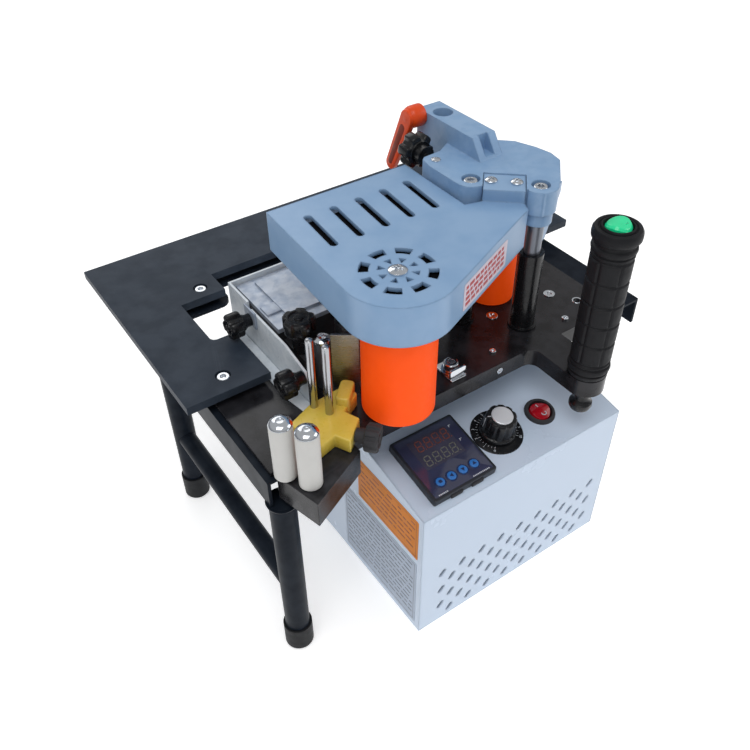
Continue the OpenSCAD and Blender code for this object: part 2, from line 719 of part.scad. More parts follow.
module pot_lid() color([0.68, 0.7, 0.73]) {
    block([pot_x0 + 1, pot_y0, pot_top], [pot_x1, pot_y1 - 1, pot_top + lid_t]);
    block([pot_x0 + 12, pot_y0 + 8, pot_top + lid_t - e], [pot_x1, pot_y1 - 6, pot_top + lid_t + 1.6]);
}

module pot_shield() color([0.95, 0.95, 0.96]) difference() {
    union() {
        block([pot_x0 - 3, pot_y1 + 0.3, base_z], [pot_x1, pot_y1 + 1.8, pot_top + 6]);
        block([pot_x0 - 3, 20, base_z], [pot_x0 - 1.5, pot_y1 + 1, pot_top + 6]);
        along_x(pot_x0 - 3, 1.5) polygon([[20.1, base_z], [20.1, 178], [17, 194], [-26, pot_top + 2],
            [-48, 189], [-54, 180], [-54, base_z]]);
    }
    for (p = [side_knob_at, front_knob_at]) translate([pot_x0 - 5, p[0], p[1]]) rotate([0, 90, 0])
        cylinder(r = 2.5 + run, h = 6);
}

// hand knob on a threaded stem, pointing along -X
module left_knob(p, d, h, neck) translate([pot_x0 - 3.3, p[0], p[1]]) rotate([0, -90, 0]) {
    translate([0, 0, -6]) cylinder(d = 5, h = 7);
    translate([0, 0, 0.6]) cylinder(d = d * 0.55, h = neck + 1);
    translate([0, 0, 0.6 + neck]) lobed(d, h, 6);
}

module side_knob() color([0.08, 0.08, 0.09]) left_knob(side_knob_at, 16, 12, 4);

module front_knob() color([0.08, 0.08, 0.09]) left_knob(front_knob_at, 17, 12, 3.5);

module dose_knob() color([0.08, 0.08, 0.09]) translate([dose_at[0], dose_at[1], pot_top - 6]) {
    cylinder(d = 6, h = 14);
    translate([0, 0, 13]) lobed(20, 12, 6);
}

// ---- tape feed ----

module steel_guide() color([0.75, 0.76, 0.78]) translate([-72 + feed_shift, -56, base_z]) rotate(-35) {
    block([-8, 0, 0], [8, 1.5, 44]);
    block([-4, 0, 0], [8, 8, 2]);
}

module guide_roller() color([0.8, 0.81, 0.83]) translate([guide_at[0] + feed_shift, guide_at[1], base_z]) {
    translate([0, 0, -base_t]) cylinder(d = 4, h = base_t + 1);
    translate([0, 0, 0.3]) cylinder(d = 9, h = 34.7);
    translate([0, 0, 35 - e]) cylinder(d1 = 10.5, d2 = 8, h = 3);
}

module bracket_outline() polygon([[-139, base_front - gap], [-131.3, -119], [-92, -100],
                                  [-92, base_front - gap]]);

module feed_bracket() color([0.1, 0.1, 0.11]) difference() {
    translate([0, 0, base_z - 18]) linear_extrude(18) bracket_outline();
    translate([-112, -95.5, base_z - 21]) cube([30, 8, 12], center = true);
    for (p = [tape_a, tape_b]) translate([p[0], p[1], base_z - 7]) cylinder(r = 2 + run, h = 8);
}

module tape_roller(p) translate([p[0], p[1], base_z + 0.5]) {
    translate([0, 0, -7]) cylinder(d = 4, h = 7 + e);
    cylinder(d = tape_roller_d, h = tape_roller_h);
    translate([0, 0, tape_roller_h - e]) cylinder(d1 = tape_roller_d - 1, d2 = tape_roller_d - 6, h = 3);
}

module tape_roller_1() color([0.95, 0.95, 0.93]) tape_roller(tape_a);

module tape_roller_2() color([0.95, 0.95, 0.93]) tape_roller(tape_b);

module tape_guide() color([0.88, 0.75, 0.2]) translate([feed_shift, 0, 0]) {
    difference() {
        translate([0, 0, base_z + 0.1]) linear_extrude(guide_z - base_z - 0.1) polygon([[-117.5, -68],
            [-113, -93], [-102, -90], [-97.5, -99], [-83, -86.5], [-87, -77], [-73, -69], [-73, -59],
            [-82, -59], [-101, -61]]);
        translate(thumb_at) rotate([0, 90, thumb_turn]) translate([0, 0, -7]) cylinder(r = 2 + run, h = 8);
    }
    for (p = guide_pins) translate([p[0], p[1], guide_z - e]) cylinder(d = 4.8, h = 49);
}

module thumb_knob() color([0.1, 0.1, 0.1]) translate(thumb_at + [feed_shift, 0, 0])
    rotate([0, 90, thumb_turn]) {
    translate([0, 0, -6]) cylinder(d = 4, h = 8);
    translate([0, 0, 0.4]) cylinder(d = 8, h = 7);
    translate([0, 0, 6]) lobed(17, 8, 7);
}

// ---- handle ----

module handle() color([0.12, 0.12, 0.13]) translate([handle_x, handle_y, 0]) difference() {
    union() {
        translate([0, 0, base_z]) cylinder(d = grip_d, h = 95);
        for (z = [base_z + 4, base_z + 88]) translate([0, 0, z]) cylinder(d = grip_d + 1.5, h = 3);
        translate([0, 0, base_z + 95 - e]) cylinder(d = grip_d + 3.5, h = 7);
        translate([0, 0, base_z - lip_h - 6]) cylinder(d = 8, h = lip_h + 7);
        translate([0, 0, base_z - lip_h - 19]) cylinder(d1 = 10, d2 = 13, h = 19);
    }
    translate([0, 0, base_z + 95.5]) cylinder(d = push_d + 2, h = 10);
}

module handle_switch() color([0.1, 0.85, 0.5]) translate([handle_x, handle_y, base_z + 97.5])
    intersection() {
        cylinder(d = push_d, h = 9);
        translate([0, 0, -4]) rotate([0, 90, 0]) cylinder(r = 11.5, h = 30, center = true);
    }

table_plate();
table_screws();
spacers();
table_carrier();
left_rail();
right_rail();
front_leg();
back_leg();
stretcher();
foot_caps();
base_plate();
base_screws();
box_shell();
box_floor();
controller();
display();
button_1();
button_2();
button_3();
button_4();
dial_plate();
speed_knob();
knob_cap();
potentiometer();
switch_bezel();
power_rocker();
drive_motor();
gearbox();
speed_board();
cable_gland();
front_roller();
front_shaft();
back_roller();
back_shaft();
glue_roller();
drive_belt();
top_cover();
cover_screw();
posts();
sleeves();
clamp_head();
head_screws();
clamp_lever();
head_knob();
glue_pot();
pot_lid();
pot_shield();
heaters();
side_knob();
dose_knob();
front_knob();
steel_guide();
guide_roller();
feed_bracket();
tape_roller_1();
tape_roller_2();
tape_guide();
thumb_knob();
handle();
handle_switch();
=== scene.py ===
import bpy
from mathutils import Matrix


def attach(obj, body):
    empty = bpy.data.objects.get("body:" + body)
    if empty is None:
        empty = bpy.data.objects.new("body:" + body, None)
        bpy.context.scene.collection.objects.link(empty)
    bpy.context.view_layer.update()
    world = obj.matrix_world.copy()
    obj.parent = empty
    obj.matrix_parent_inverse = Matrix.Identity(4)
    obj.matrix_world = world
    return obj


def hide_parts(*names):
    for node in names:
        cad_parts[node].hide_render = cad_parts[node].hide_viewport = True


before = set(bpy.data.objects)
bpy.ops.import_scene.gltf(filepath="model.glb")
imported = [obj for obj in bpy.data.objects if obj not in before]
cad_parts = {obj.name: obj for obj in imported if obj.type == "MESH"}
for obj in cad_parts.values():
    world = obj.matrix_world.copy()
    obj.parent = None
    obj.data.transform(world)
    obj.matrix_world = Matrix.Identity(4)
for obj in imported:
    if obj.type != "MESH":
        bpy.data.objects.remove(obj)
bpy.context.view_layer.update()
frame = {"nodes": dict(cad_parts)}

import math

import bmesh
import bpy
from bpy.props import FloatProperty, FloatVectorProperty, IntProperty, PointerProperty
from mathutils import Matrix, Vector

bl_info = {
    "name": "Edge Banding Machine",
    "version": (1, 0, 0),
    "blender": (4, 5, 0),
    "location": "3D View > Sidebar > Edge Bander",
    "description": "Detailed pieces and finishes for a portable edge banding machine",
    "category": "Object",
}

MM = 0.001
STAY = Matrix.Identity(4)

# places in millimetres, in the frame's own axes
BASE_TOP = 167.0
GRIP_X, GRIP_Y = 59.5, -124.0
GRILLE_X, GRILLE_Y = -53, -80
GUIDE_X, GUIDE_Y = -79, -42.5
TABLE_SCREWS = ((-102, 78, 20), (-130, -11, 55), (130, 18, 5), (130, 103, 40))

# the sloping panel's lower edge and tilt, and its pieces as (across, up the slope)
PANEL_Y, PANEL_Z = -130, 117
PANEL_TILT = math.radians(10)
CONTROLLER = (-33, 29.5)
DIAL = (11.5, 29)
SWITCH = (47, 27)

# the middle stretch of a noise texture, and how deep its pores are
MID_NOISE = (0.3, 0.7)
PORE_DEPTH = 0.0003
MIN_ROUGH = 0.02


# ---- settings ----

def tint(label, value):
    """Colour property with a plain description."""
    return FloatVectorProperty(
        name=label, description=f"{label}, as a linear colour",
        subtype="COLOR", size=3, min=0.0, max=1.0, default=value)


def length(label, value):
    """Length property in metres, given in millimetres."""
    return FloatProperty(
        name=label, description=f"{label}, as a length", unit="LENGTH",
        default=value * MM, min=0.0, max=0.2, precision=5)


class BanderSizes(bpy.types.PropertyGroup):
    """Sizes that a user may change without touching the frame."""
    cover_edge: length("Rounding of the cover's edges", 1.6)
    head_edge: length("Rounding of the head's edges", 1.0)
    box_edge: length("Rounding of the control box's edges", 2.2)
    sheet_edge: length("Rounding of the table's and base's edges", 0.5)
    groove: length("Depth of the grip's grooves", 0.8)
    grip_rows: IntProperty(
        name="Grip rows", description="Rows of blocks on the grip", default=5, min=2, max=9)
    grip_blocks: IntProperty(
        name="Grip blocks", description="Blocks in a row", default=6, min=4, max=16)


class BanderColours(bpy.types.PropertyGroup):
    """Colours of the machine's finishes."""
    cover: tint("Cover and head paint", (0.205, 0.345, 0.545))
    box: tint("Control box paint", (0.56, 0.66, 0.80))
    table: tint("Table coating", (0.022, 0.031, 0.046))
    frame: tint("Stand paint", (0.006, 0.009, 0.015))
    base: tint("Base plate paint", (0.006, 0.006, 0.007))
    feed: tint("Feed roller rubber", (0.95, 0.085, 0.004))
    lever: tint("Lever plastic", (0.75, 0.07, 0.01))
    guide: tint("Tape guide paint", (0.68, 0.50, 0.07))
    grip: tint("Grip rubber", (0.012, 0.0125, 0.0145))
    plastic: tint("Black plastic", (0.008, 0.0085, 0.010))
    screen: tint("Controller face", (0.035, 0.040, 0.085))
    rocker: tint("Power rocker", (0.34, 0.004, 0.012))
    push: tint("Handle switch", (0.01, 0.62, 0.27))


class BanderStage(bpy.types.PropertyGroup):
    """Camera and light."""
    lens: FloatProperty(
        name="Lens", description="Focal length", subtype="DISTANCE_CAMERA", default=39.12, min=10)
    key: FloatProperty(
        name="Key light", description="Power of the main light", subtype="POWER", default=8.5, min=0)
    fill: FloatProperty(
        name="Fill light", description="Power of the side and back lights", subtype="POWER", default=3.6,
        min=0)


def sizes():
    return bpy.context.scene.bander_sizes


def colour(name):
    return tuple(getattr(bpy.context.scene.bander_colours, name))


# ---- finishes ----

def finish(name, tone, rough, spread=0.12, cloud=90.0, pores=1400.0, depth=0.12, metal=0.0,
           lacquer=0.0, wear_and_highlight=None, wear_and_highlight_share=0.5, streak=None, rough_spread=0.08, glow=0.0,
           shine=0.3, edge=0.4):
    """Procedural finish: clouded colour, uneven roughness, fine pores, and lighter sharp edges that are
    partly wear and partly painted edge highlight.
    """
    known = bpy.data.materials.get(name)
    if known:
        return known
    mat = bpy.data.materials.new(name)
    mat.use_nodes = True
    nodes, links = mat.node_tree.nodes, mat.node_tree.links
    shader = nodes["Principled BSDF"]
    place = nodes.new("ShaderNodeTexCoord")
    spot = place.outputs["Object"]
    if streak:
        stretch = nodes.new("ShaderNodeMapping")
        stretch.inputs["Scale"].default_value = streak
        links.new(spot, stretch.inputs["Vector"])
        spot = stretch.outputs["Vector"]

    def noise(scale, detail):
        n = nodes.new("ShaderNodeTexNoise")
        n.inputs["Scale"].default_value = scale
        n.inputs["Detail"].default_value = detail
        links.new(spot, n.inputs["Vector"])
        return n.outputs["Fac"]

    def spread_to(source, low, high, a, b):
        m = nodes.new("ShaderNodeMapRange")
        for key, value in (("From Min", low), ("From Max", high), ("To Min", a), ("To Max", b)):
            m.inputs[key].default_value = value
        links.new(source, m.inputs["Value"])
        return m.outputs["Result"]

    def blend(factor, a, b):
        m = nodes.new("ShaderNodeMix")
        m.data_type = "RGBA"
        links.new(factor, m.inputs["Factor"])
        for socket, value in ((m.inputs["A"], a), (m.inputs["B"], b)):
            if isinstance(value, tuple):
                socket.default_value = (*value, 1.0)
            else:
                links.new(value, socket)
        return m.outputs["Result"]

    dark = tuple(c * (1 - spread) for c in tone)
    light = tuple(min(1.0, c * (1 + spread)) for c in tone)
    base = blend(spread_to(noise(cloud, 4.0), *MID_NOISE, 0.0, 1.0), dark, light)
    # Lighter colour on sharp edges, broken up by noise: partly edge wear, partly painted highlight along lit
    # edges.
    if wear_and_highlight:
        shape = nodes.new("ShaderNodeNewGeometry")
        wear_and_highlight_mask = spread_to(shape.outputs["Pointiness"], 0.52, 0.6, 0.0, wear_and_highlight_share)
        broken = nodes.new("ShaderNodeMath")
        broken.operation = "MULTIPLY"
        links.new(wear_and_highlight_mask, broken.inputs[0])
        links.new(spread_to(noise(cloud * 3, 3.0), 0.35, 0.6, 0.15, 1.0), broken.inputs[1])
        base = blend(broken.outputs["Value"], base, wear_and_highlight)
    links.new(base, shader.inputs["Base Color"])
    sleek, dull = max(MIN_ROUGH, rough - rough_spread), rough + rough_spread
    links.new(spread_to(noise(cloud * 2.3, 5.0), *MID_NOISE, sleek, dull), shader.inputs["Roughness"])
    rounding = nodes.new("ShaderNodeBevel")
    rounding.samples = 4
    rounding.inputs["Radius"].default_value = edge * MM
    bump = nodes.new("ShaderNodeBump")
    links.new(rounding.outputs["Normal"], bump.inputs["Normal"])
    bump.inputs["Strength"].default_value = depth
    bump.inputs["Distance"].default_value = PORE_DEPTH
    links.new(noise(pores, 2.0), bump.inputs["Height"])
    links.new(bump.outputs["Normal"], shader.inputs["Normal"])
    shader.inputs["Metallic"].default_value = metal
    shader.inputs["Specular IOR Level"].default_value = shine
    shader.inputs["Coat Weight"].default_value = lacquer
    shader.inputs["Coat Roughness"].default_value = 0.08
    if glow:
        shader.inputs["Emission Color"].default_value = (*tone, 1.0)
        shader.inputs["Emission Strength"].default_value = glow
    return mat


def table_coat():
    return finish("table_coat", colour("table"), 0.45, spread=0.04, cloud=25, pores=1900, depth=0.12,
                  shine=0.12, edge=sizes().sheet_edge / MM, wear_and_highlight=(0.08, 0.10, 0.13), wear_and_highlight_share=0.25,
                  rough_spread=0.03)


def stand_paint():
    return finish("stand_paint", colour("frame"), 0.36, spread=0.05, cloud=30, depth=0.04, shine=0.06,
                  edge=0.8,
                  wear_and_highlight=(0.035, 0.045, 0.06), wear_and_highlight_share=0.25, rough_spread=0.03)


def base_paint():
    return finish("base_paint", colour("base"), 0.2, spread=0.06, cloud=25, depth=0.02, shine=0.3,
                  rough_spread=0.02, edge=sizes().sheet_edge / MM, wear_and_highlight=(0.06, 0.06, 0.07), wear_and_highlight_share=0.3)


def box_paint():
    return finish("box_paint", colour("box"), 0.26, spread=0.01, cloud=12, pores=1100, depth=0.02,
                  shine=0.45, edge=sizes().box_edge / MM, rough_spread=0.02)


def cover_paint():
    return finish("cover_paint", colour("cover"), 0.3, spread=0.02, cloud=18, pores=900, depth=0.03,
                  shine=0.4, edge=sizes().cover_edge / MM, wear_and_highlight=(0.36, 0.50, 0.68), wear_and_highlight_share=0.25,
                  rough_spread=0.025)


def head_paint():
    return finish("head_paint", colour("cover"), 0.34, spread=0.04, cloud=60, pores=900, depth=0.1,
                  shine=0.4, edge=sizes().head_edge / MM, wear_and_highlight=(0.36, 0.50, 0.68), wear_and_highlight_share=0.3,
                  rough_spread=0.03)


def feed_rubber():
    # The glow is painted light: the rubber is no lamp, and its emission brightens the red.
    return finish("feed_rubber", colour("feed"), 0.55, spread=0.03, cloud=160, pores=1500, depth=0.08,
                  shine=0.15, edge=1.2, glow=0.22)


def black_plastic():
    return finish("black_plastic", colour("plastic"), 0.42, pores=1700, depth=0.15, shine=0.3,
                  wear_and_highlight=(0.05, 0.054, 0.062), wear_and_highlight_share=0.3)


def gloss_plastic():
    return finish("gloss_black_plastic", colour("plastic"), 0.24, pores=1200, depth=0.05, shine=0.35,
                  edge=0.5)


def chrome():
    return finish("chrome_plate", (0.62, 0.65, 0.69), 0.12, spread=0.03, depth=0.02, metal=1.0,
                  rough_spread=0.04)


def turned_steel():
    return finish("turned_steel", (0.36, 0.37, 0.39), 0.3, spread=0.08, depth=0.1, metal=1.0,
                  streak=(1.0, 1.0, 14.0))


def post_metal():
    return finish("post_metal", (0.17, 0.185, 0.215), 0.34, spread=0.08, depth=0.06, metal=0.8,
                  streak=(4.0, 4.0, 0.3))


def lid_metal():
    return finish("lid_metal", (0.30, 0.36, 0.46), 0.4, spread=0.12, cloud=60, pores=800, depth=0.3,
                  metal=0.4, wear_and_highlight=(0.6, 0.63, 0.68))


def cast_metal():
    return finish("cast_metal", (0.035, 0.036, 0.04), 0.5, spread=0.2, cloud=140, pores=700, depth=0.5,
                  metal=0.3)


def white_roller():
    return finish("white_roller", (0.60, 0.595, 0.575), 0.4, spread=0.03, depth=0.06)


def shield_paint():
    return finish("shield_paint", (0.60, 0.66, 0.72), 0.35, spread=0.04, depth=0.06, wear_and_highlight=(0.8, 0.84, 0.87))


def cap_rubber():
    return finish("cap_rubber", (0.011, 0.012, 0.014), 0.55, pores=1500, depth=0.3, shine=0.2, edge=0.8)


def bracket_paint():
    return finish("bracket_paint", (0.006, 0.006, 0.007), 0.22, cloud=30, pores=900, depth=0.04, shine=0.22,
                  edge=0.8, wear_and_highlight=(0.10, 0.10, 0.11), wear_and_highlight_share=0.3, rough_spread=0.03)


def mark_white():
    return finish("marks_white", (0.62, 0.66, 0.72), 0.4, spread=0.03)


def vent_dark():
    """Dull black for the sheets of painted shade that stand for the unlit inside behind a vent."""
    return finish("vent_lining", (0.004, 0.004, 0.005), 0.8, shine=0.05)


# ---- mesh helpers ----

def lathe(profile, steps=64, wave=None):
    """Turns a profile of (radius, height) round Z; wave(angle, radius, height) gives the real radius."""
    bm = bmesh.new()
    rings = []
    for radius, height in profile:
        if radius <= 0:
            rings.append([bm.verts.new((0, 0, height))])
            continue
        ring = []
        for i in range(steps):
            a = 2 * math.pi * i / steps
            r = wave(a, radius, height) if wave else radius
            ring.append(bm.verts.new((r * math.cos(a), r * math.sin(a), height)))
        rings.append(ring)
    for low, high in zip(rings, rings[1:]):
        for i in range(steps):
            j = (i + 1) % steps
            corners = [low[i % len(low)], low[j % len(low)], high[j % len(high)], high[i % len(high)]]
            unique = list(dict.fromkeys(corners))
            if len(unique) > 2:
                bm.faces.new(unique)
    bmesh.ops.recalc_face_normals(bm, faces=bm.faces)
    return bm


def slab(points, low, high, edge=0.0, segments=2, sharp=25):
    """Flat outline raised from low to high, with its edges rounded."""
    bm = bmesh.new()
    face = bm.faces.new([bm.verts.new((x, y, low)) for x, y in points])
    made = bmesh.ops.extrude_face_region(bm, geom=[face])
    raised = [v for v in made["geom"] if isinstance(v, bmesh.types.BMVert)]
    bmesh.ops.translate(bm, verts=raised, vec=(0, 0, high - low))
    bmesh.ops.recalc_face_normals(bm, faces=bm.faces)
    if edge:
        hard = [e for e in bm.edges if e.is_manifold and e.calc_face_angle(0) > math.radians(sharp)]
        bmesh.ops.bevel(bm, geom=hard, offset=edge, segments=segments, affect="EDGES", profile=0.5,
                        clamp_overlap=True)
    return bm


def block(x0, y0, x1, y1, low, high, edge=0.0):
    """Rectangle between two corners, raised from low to high."""
    return slab([(x0, y0), (x1, y0), (x1, y1), (x0, y1)], low, high, edge)


def oblong(width, depth, corner, steps=6):
    """Rectangle with round corners, round the origin."""
    points = []
    for k, (sx, sy) in enumerate(((1, 1), (-1, 1), (-1, -1), (1, -1))):
        for i in range(steps + 1):
            a = math.pi / 2 * (k + i / steps)
            points.append((sx * (width / 2 - corner) + corner * math.cos(a),
                           sy * (depth / 2 - corner) + corner * math.sin(a)))
    return points


def relief(radius, height_at, rings=26, steps=96, skirt=0.0):
    """Round face whose height follows height_at(x, y), with a skirt down its rim."""
    profile = [(radius * i / rings, 0) for i in range(rings + 1)] + [(radius, -1)]
    bm = lathe(profile, steps)
    for v in bm.verts:
        v.co.z = -skirt if v.co.z < -0.5 else height_at(v.co.x, v.co.y)
    return bm


def step(x, low, high):
    """Smooth rise from 0 at low to 1 at high."""
    t = max(0.0, min(1.0, (x - low) / (high - low)))
    return t * t * (3 - 2 * t)


def joined(*parts):
    """One mesh from several (mesh, matrix) parts."""
    whole = bmesh.new()
    for bm, matrix in parts:
        mesh = bpy.data.meshes.new("part")
        bm.to_mesh(mesh)
        bm.free()
        mesh.transform(matrix)
        whole.from_mesh(mesh)
        bpy.data.meshes.remove(mesh)
    return whole


def at(x, y, z, axis=(0, 0, 1), turn=0.0):
    """Matrix that takes a piece made along Z to a place, in millimetres, along an axis."""
    lean = Vector((0, 0, 1)).rotation_difference(Vector(axis)).to_matrix().to_4x4()
    return Matrix.Translation((x, y, z)) @ lean @ Matrix.Rotation(math.radians(turn), 4, "Z")


def on_panel(x, s, h=0.0, turn=0.0):
    """Matrix for a place on the sloping panel: x across, s up the slope, h over it."""
    slope = Matrix.Translation((0, PANEL_Y, PANEL_Z)) @ Matrix.Rotation(PANEL_TILT, 4, "X")
    return slope @ Matrix.Translation((x, s, h)) @ Matrix.Rotation(math.radians(turn), 4, "Z")


def piece(name, bm, material, body, nodes=(), matrix=STAY, smooth=35):
    """Object from a mesh in millimetres, riding a body and standing for CAD nodes."""
    mesh = bpy.data.meshes.new(name)
    bm.to_mesh(mesh)
    bm.free()
    mesh.transform(Matrix.Scale(MM, 4) @ matrix)
    mesh.materials.append(material)
    mesh.shade_smooth()
    mesh.set_sharp_from_angle(angle=math.radians(smooth))
    obj = bpy.data.objects.new(name, mesh)
    bpy.context.scene.collection.objects.link(obj)
    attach(obj, body)
    if nodes:
        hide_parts(*nodes)
    return obj


def paint(material, *nodes):
    """Gives CAD nodes a finish."""
    for node in nodes:
        obj = frame["nodes"][node]
        if not obj.material_slots:
            obj.data.materials.append(material)
        for holder in obj.material_slots:
            holder.material = material


def words(text, size, matrix, lift=0.05):
    """Flat mesh of generic figures, centred on its place."""
    curve = bpy.data.curves.new("figures", "FONT")
    curve.body, curve.size = text, size
    curve.align_x, curve.align_y = "CENTER", "CENTER"
    holder = bpy.data.objects.new("figures", curve)
    bpy.context.scene.collection.objects.link(holder)
    mesh = bpy.data.meshes.new_from_object(holder.evaluated_get(bpy.context.evaluated_depsgraph_get()))
    bpy.data.objects.remove(holder)
    bm = bmesh.new()
    bm.from_mesh(mesh)
    bpy.data.meshes.remove(mesh)
    return bm, matrix @ Matrix.Translation((0, 0, lift))


# ---- screws ----

def screw_head(kind, radius, height):
    """Screw head along +Z from its seat: cross, slot, hex or dome."""
    def top(x, y):
        r = math.hypot(x, y) / radius
        z = height * (1 - 0.55 * r ** 2.6) if kind != "hex" else height * (1 - 0.12 * step(r, 0.86, 1.0))
        if kind == "flat":
            z = height * (1 - 0.15 * step(r, 0.9, 1.0))
        if kind in ("cross", "flat"):
            arm = radius * 0.11
            far = radius * 0.62
            near = min(abs(x), abs(y))
            cut = (1 - step(near, arm * 0.7, arm * 1.5)) * (1 - step(max(abs(x), abs(y)), far * 0.75, far))
            z -= cut * height * 0.75
        if kind == "slot":
            z -= (1 - step(abs(x), radius * 0.12, radius * 0.2)) * height * 0.6
        if kind in ("hex", "dome"):
            a = math.atan2(y, x)
            edge = radius * 0.46 / math.cos((a % (math.pi / 3)) - math.pi / 6)
            z -= (1 - step(math.hypot(x, y), edge * 0.9, edge)) * height * 0.7
        return z
    return relief(radius, top)


def upright_heads(heads):
    """Parts for screw heads that face up, each (kind, radius, height, x, y, z, turn)."""
    return [(screw_head(kind, r, h), at(x, y, z, turn=turn)) for kind, r, h, x, y, z, turn in heads]


def screws(name, node, heads):
    """One chrome object of upright screw heads, standing for a CAD node."""
    return piece(name, joined(*upright_heads(heads)), chrome(), "machine", [node])


# ---- knobs ----

def star_knob(radius, height, lobes, deep=0.22, hub=0.0, hub_r=0.5):
    """Lobed hand knob along +Z with a dished face and a hub below."""
    def wave(a, r, z):
        share = step(r / radius, 0.55, 0.95)
        c = 0.5 + 0.5 * math.cos(lobes * a)
        return r * (1 - deep * share * (1 - step(c, 0.12, 0.62)))
    h = height
    profile = [(0, -hub), (radius * hub_r, -hub), (radius * hub_r, 0), (radius * 0.8, 0),
               (radius * 0.95, h * 0.06),
               (radius, h * 0.14), (radius, h * 0.82), (radius * 0.96, h * 0.93), (radius * 0.88, h),
               (radius * 0.6, h), (radius * 0.55, h * 0.93), (radius * 0.3, h * 0.92), (radius * 0.27, h),
               (0, h)]
    if hub <= 0:
        profile = profile[2:]
        profile[0] = (0, 0)
    return lathe(profile, lobes * 16, wave)


def stem(radius, low, high):
    """Plain round rod along Z."""
    return lathe([(0, low), (radius, low), (radius, high), (0, high)], 32)


# ---- operators ----

class BanderOperator:
    bl_options = {"REGISTER", "UNDO"}


class BANDER_OT_stage(BanderOperator, bpy.types.Operator):
    """Add the camera, the pale floor, the sky and the soft lights"""
    bl_idname = "bander.stage"
    bl_label = "Stage"

    def execute(self, context):
        scene = context.scene
        yaw, pitch, roll = (math.radians(a) for a in (33.92, 41.96, -0.894))
        ahead = Vector((math.sin(yaw) * math.cos(pitch), math.cos(yaw) * math.cos(pitch), -math.sin(pitch)))
        right = Vector((math.cos(yaw), -math.sin(yaw), 0))
        up = right.cross(ahead)
        side = math.cos(roll) * right + math.sin(roll) * up
        top = -math.sin(roll) * right + math.cos(roll) * up
        data = bpy.data.cameras.new("view")
        data.lens, data.sensor_width = scene.bander_stage.lens, 36
        data.shift_x, data.shift_y = 0.0050, 0.0065
        data.clip_start, data.clip_end = 0.01, 50
        camera = bpy.data.objects.new("view", data)
        turned = Matrix((side, top, -ahead)).transposed().to_4x4()
        camera.matrix_world = Matrix.Translation(Vector((-259.1, -360.5, 498)) * MM) @ turned
        scene.collection.objects.link(camera)
        scene.camera = camera
        bm = bmesh.new()
        bmesh.ops.create_grid(bm, x_segments=2, y_segments=2, size=6000)
        mesh = bpy.data.meshes.new("floor")
        bm.to_mesh(mesh)
        bm.free()
        mesh.transform(Matrix.Scale(MM, 4))
        paper = finish("floor_paper", (0.93, 0.93, 0.93), 0.8, spread=0.005, depth=0.0, glow=0.46,
                       shine=0.1, edge=0.0)
        mesh.materials.append(paper)
        floor = bpy.data.objects.new("floor", mesh)
        scene.collection.objects.link(floor)
        world = bpy.data.worlds.new("soft_sky")
        world.use_nodes = True
        nodes, links = world.node_tree.nodes, world.node_tree.links
        place = nodes.new("ShaderNodeTexCoord")
        parts = nodes.new("ShaderNodeSeparateXYZ")
        ramp = nodes.new("ShaderNodeValToRGB")
        stops = ((0.02, (0.30, 0.32, 0.36, 1)), (0.5, (1.0, 1.0, 1.0, 1)))
        for stop, (position, tone) in zip(ramp.color_ramp.elements, stops):
            stop.position, stop.color = position, tone
        links.new(place.outputs["Generated"], parts.inputs["Vector"])
        links.new(parts.outputs["Z"], ramp.inputs["Fac"])
        links.new(ramp.outputs["Color"], nodes["Background"].inputs["Color"])
        nodes["Background"].inputs["Strength"].default_value = 0.52
        scene.world = world
        for name, power, size, spot in (("key", scene.bander_stage.key, 0.9, (-0.5, -0.5, 1.5)),
                                        ("fill", scene.bander_stage.fill, 0.8, (1.2, -0.7, 0.9)),
                                        ("back", scene.bander_stage.fill, 0.9, (0.2, 1.3, 1.1))):
            light = bpy.data.lights.new(name, "AREA")
            light.energy, light.size = power, size
            lamp = bpy.data.objects.new(name, light)
            lamp.location = spot
            aim = (Vector((0, 0, 0.15)) - Vector(spot)).to_track_quat("-Z", "Y")
            lamp.rotation_euler = aim.to_euler()
            scene.collection.objects.link(lamp)
        scene.view_settings.view_transform = "Standard"
        return {"FINISHED"}


class BANDER_OT_table(BanderOperator, bpy.types.Operator):
    """Finish the work table, its rails, legs and screws"""
    bl_idname = "bander.table"
    bl_label = "Table and stand"

    def execute(self, context):
        paint(table_coat(), "table_plate")
        paint(stand_paint(), "table_carrier", "left_rail", "right_rail", "front_leg", "back_leg", "stretcher",
              "spacers")
        paint(cap_rubber(), "foot_caps")
        head_seat, bolt_end, nut_seat = 175.4, 159, 162
        heads = [("hex", 3.9, 1.9, x, y, head_seat, turn) for x, y, turn in TABLE_SCREWS]
        screws("table_screw_heads", "table_screws", heads)
        parts = []
        for x, y, _ in TABLE_SCREWS:
            parts.append((stem(2.0, bolt_end, head_seat), at(x, y, 0)))
            parts.append((screw_head("hex", 3.8, 2.0), at(x, y, nut_seat, axis=(0, 0, -1))))
        piece("table_bolts", joined(*parts), turned_steel(), "machine")
        parts = []
        leg_x = -137
        for leg_y in (-87.5, 71):
            weld = lathe([(8.05, 143.9), (9.6, 143.9), (9.2, 142.6), (8.1, 141.6)], 48)
            parts.append((weld, at(leg_x, leg_y, 0)))
        piece("leg_welds", joined(*parts), stand_paint(), "machine")
        return {"FINISHED"}


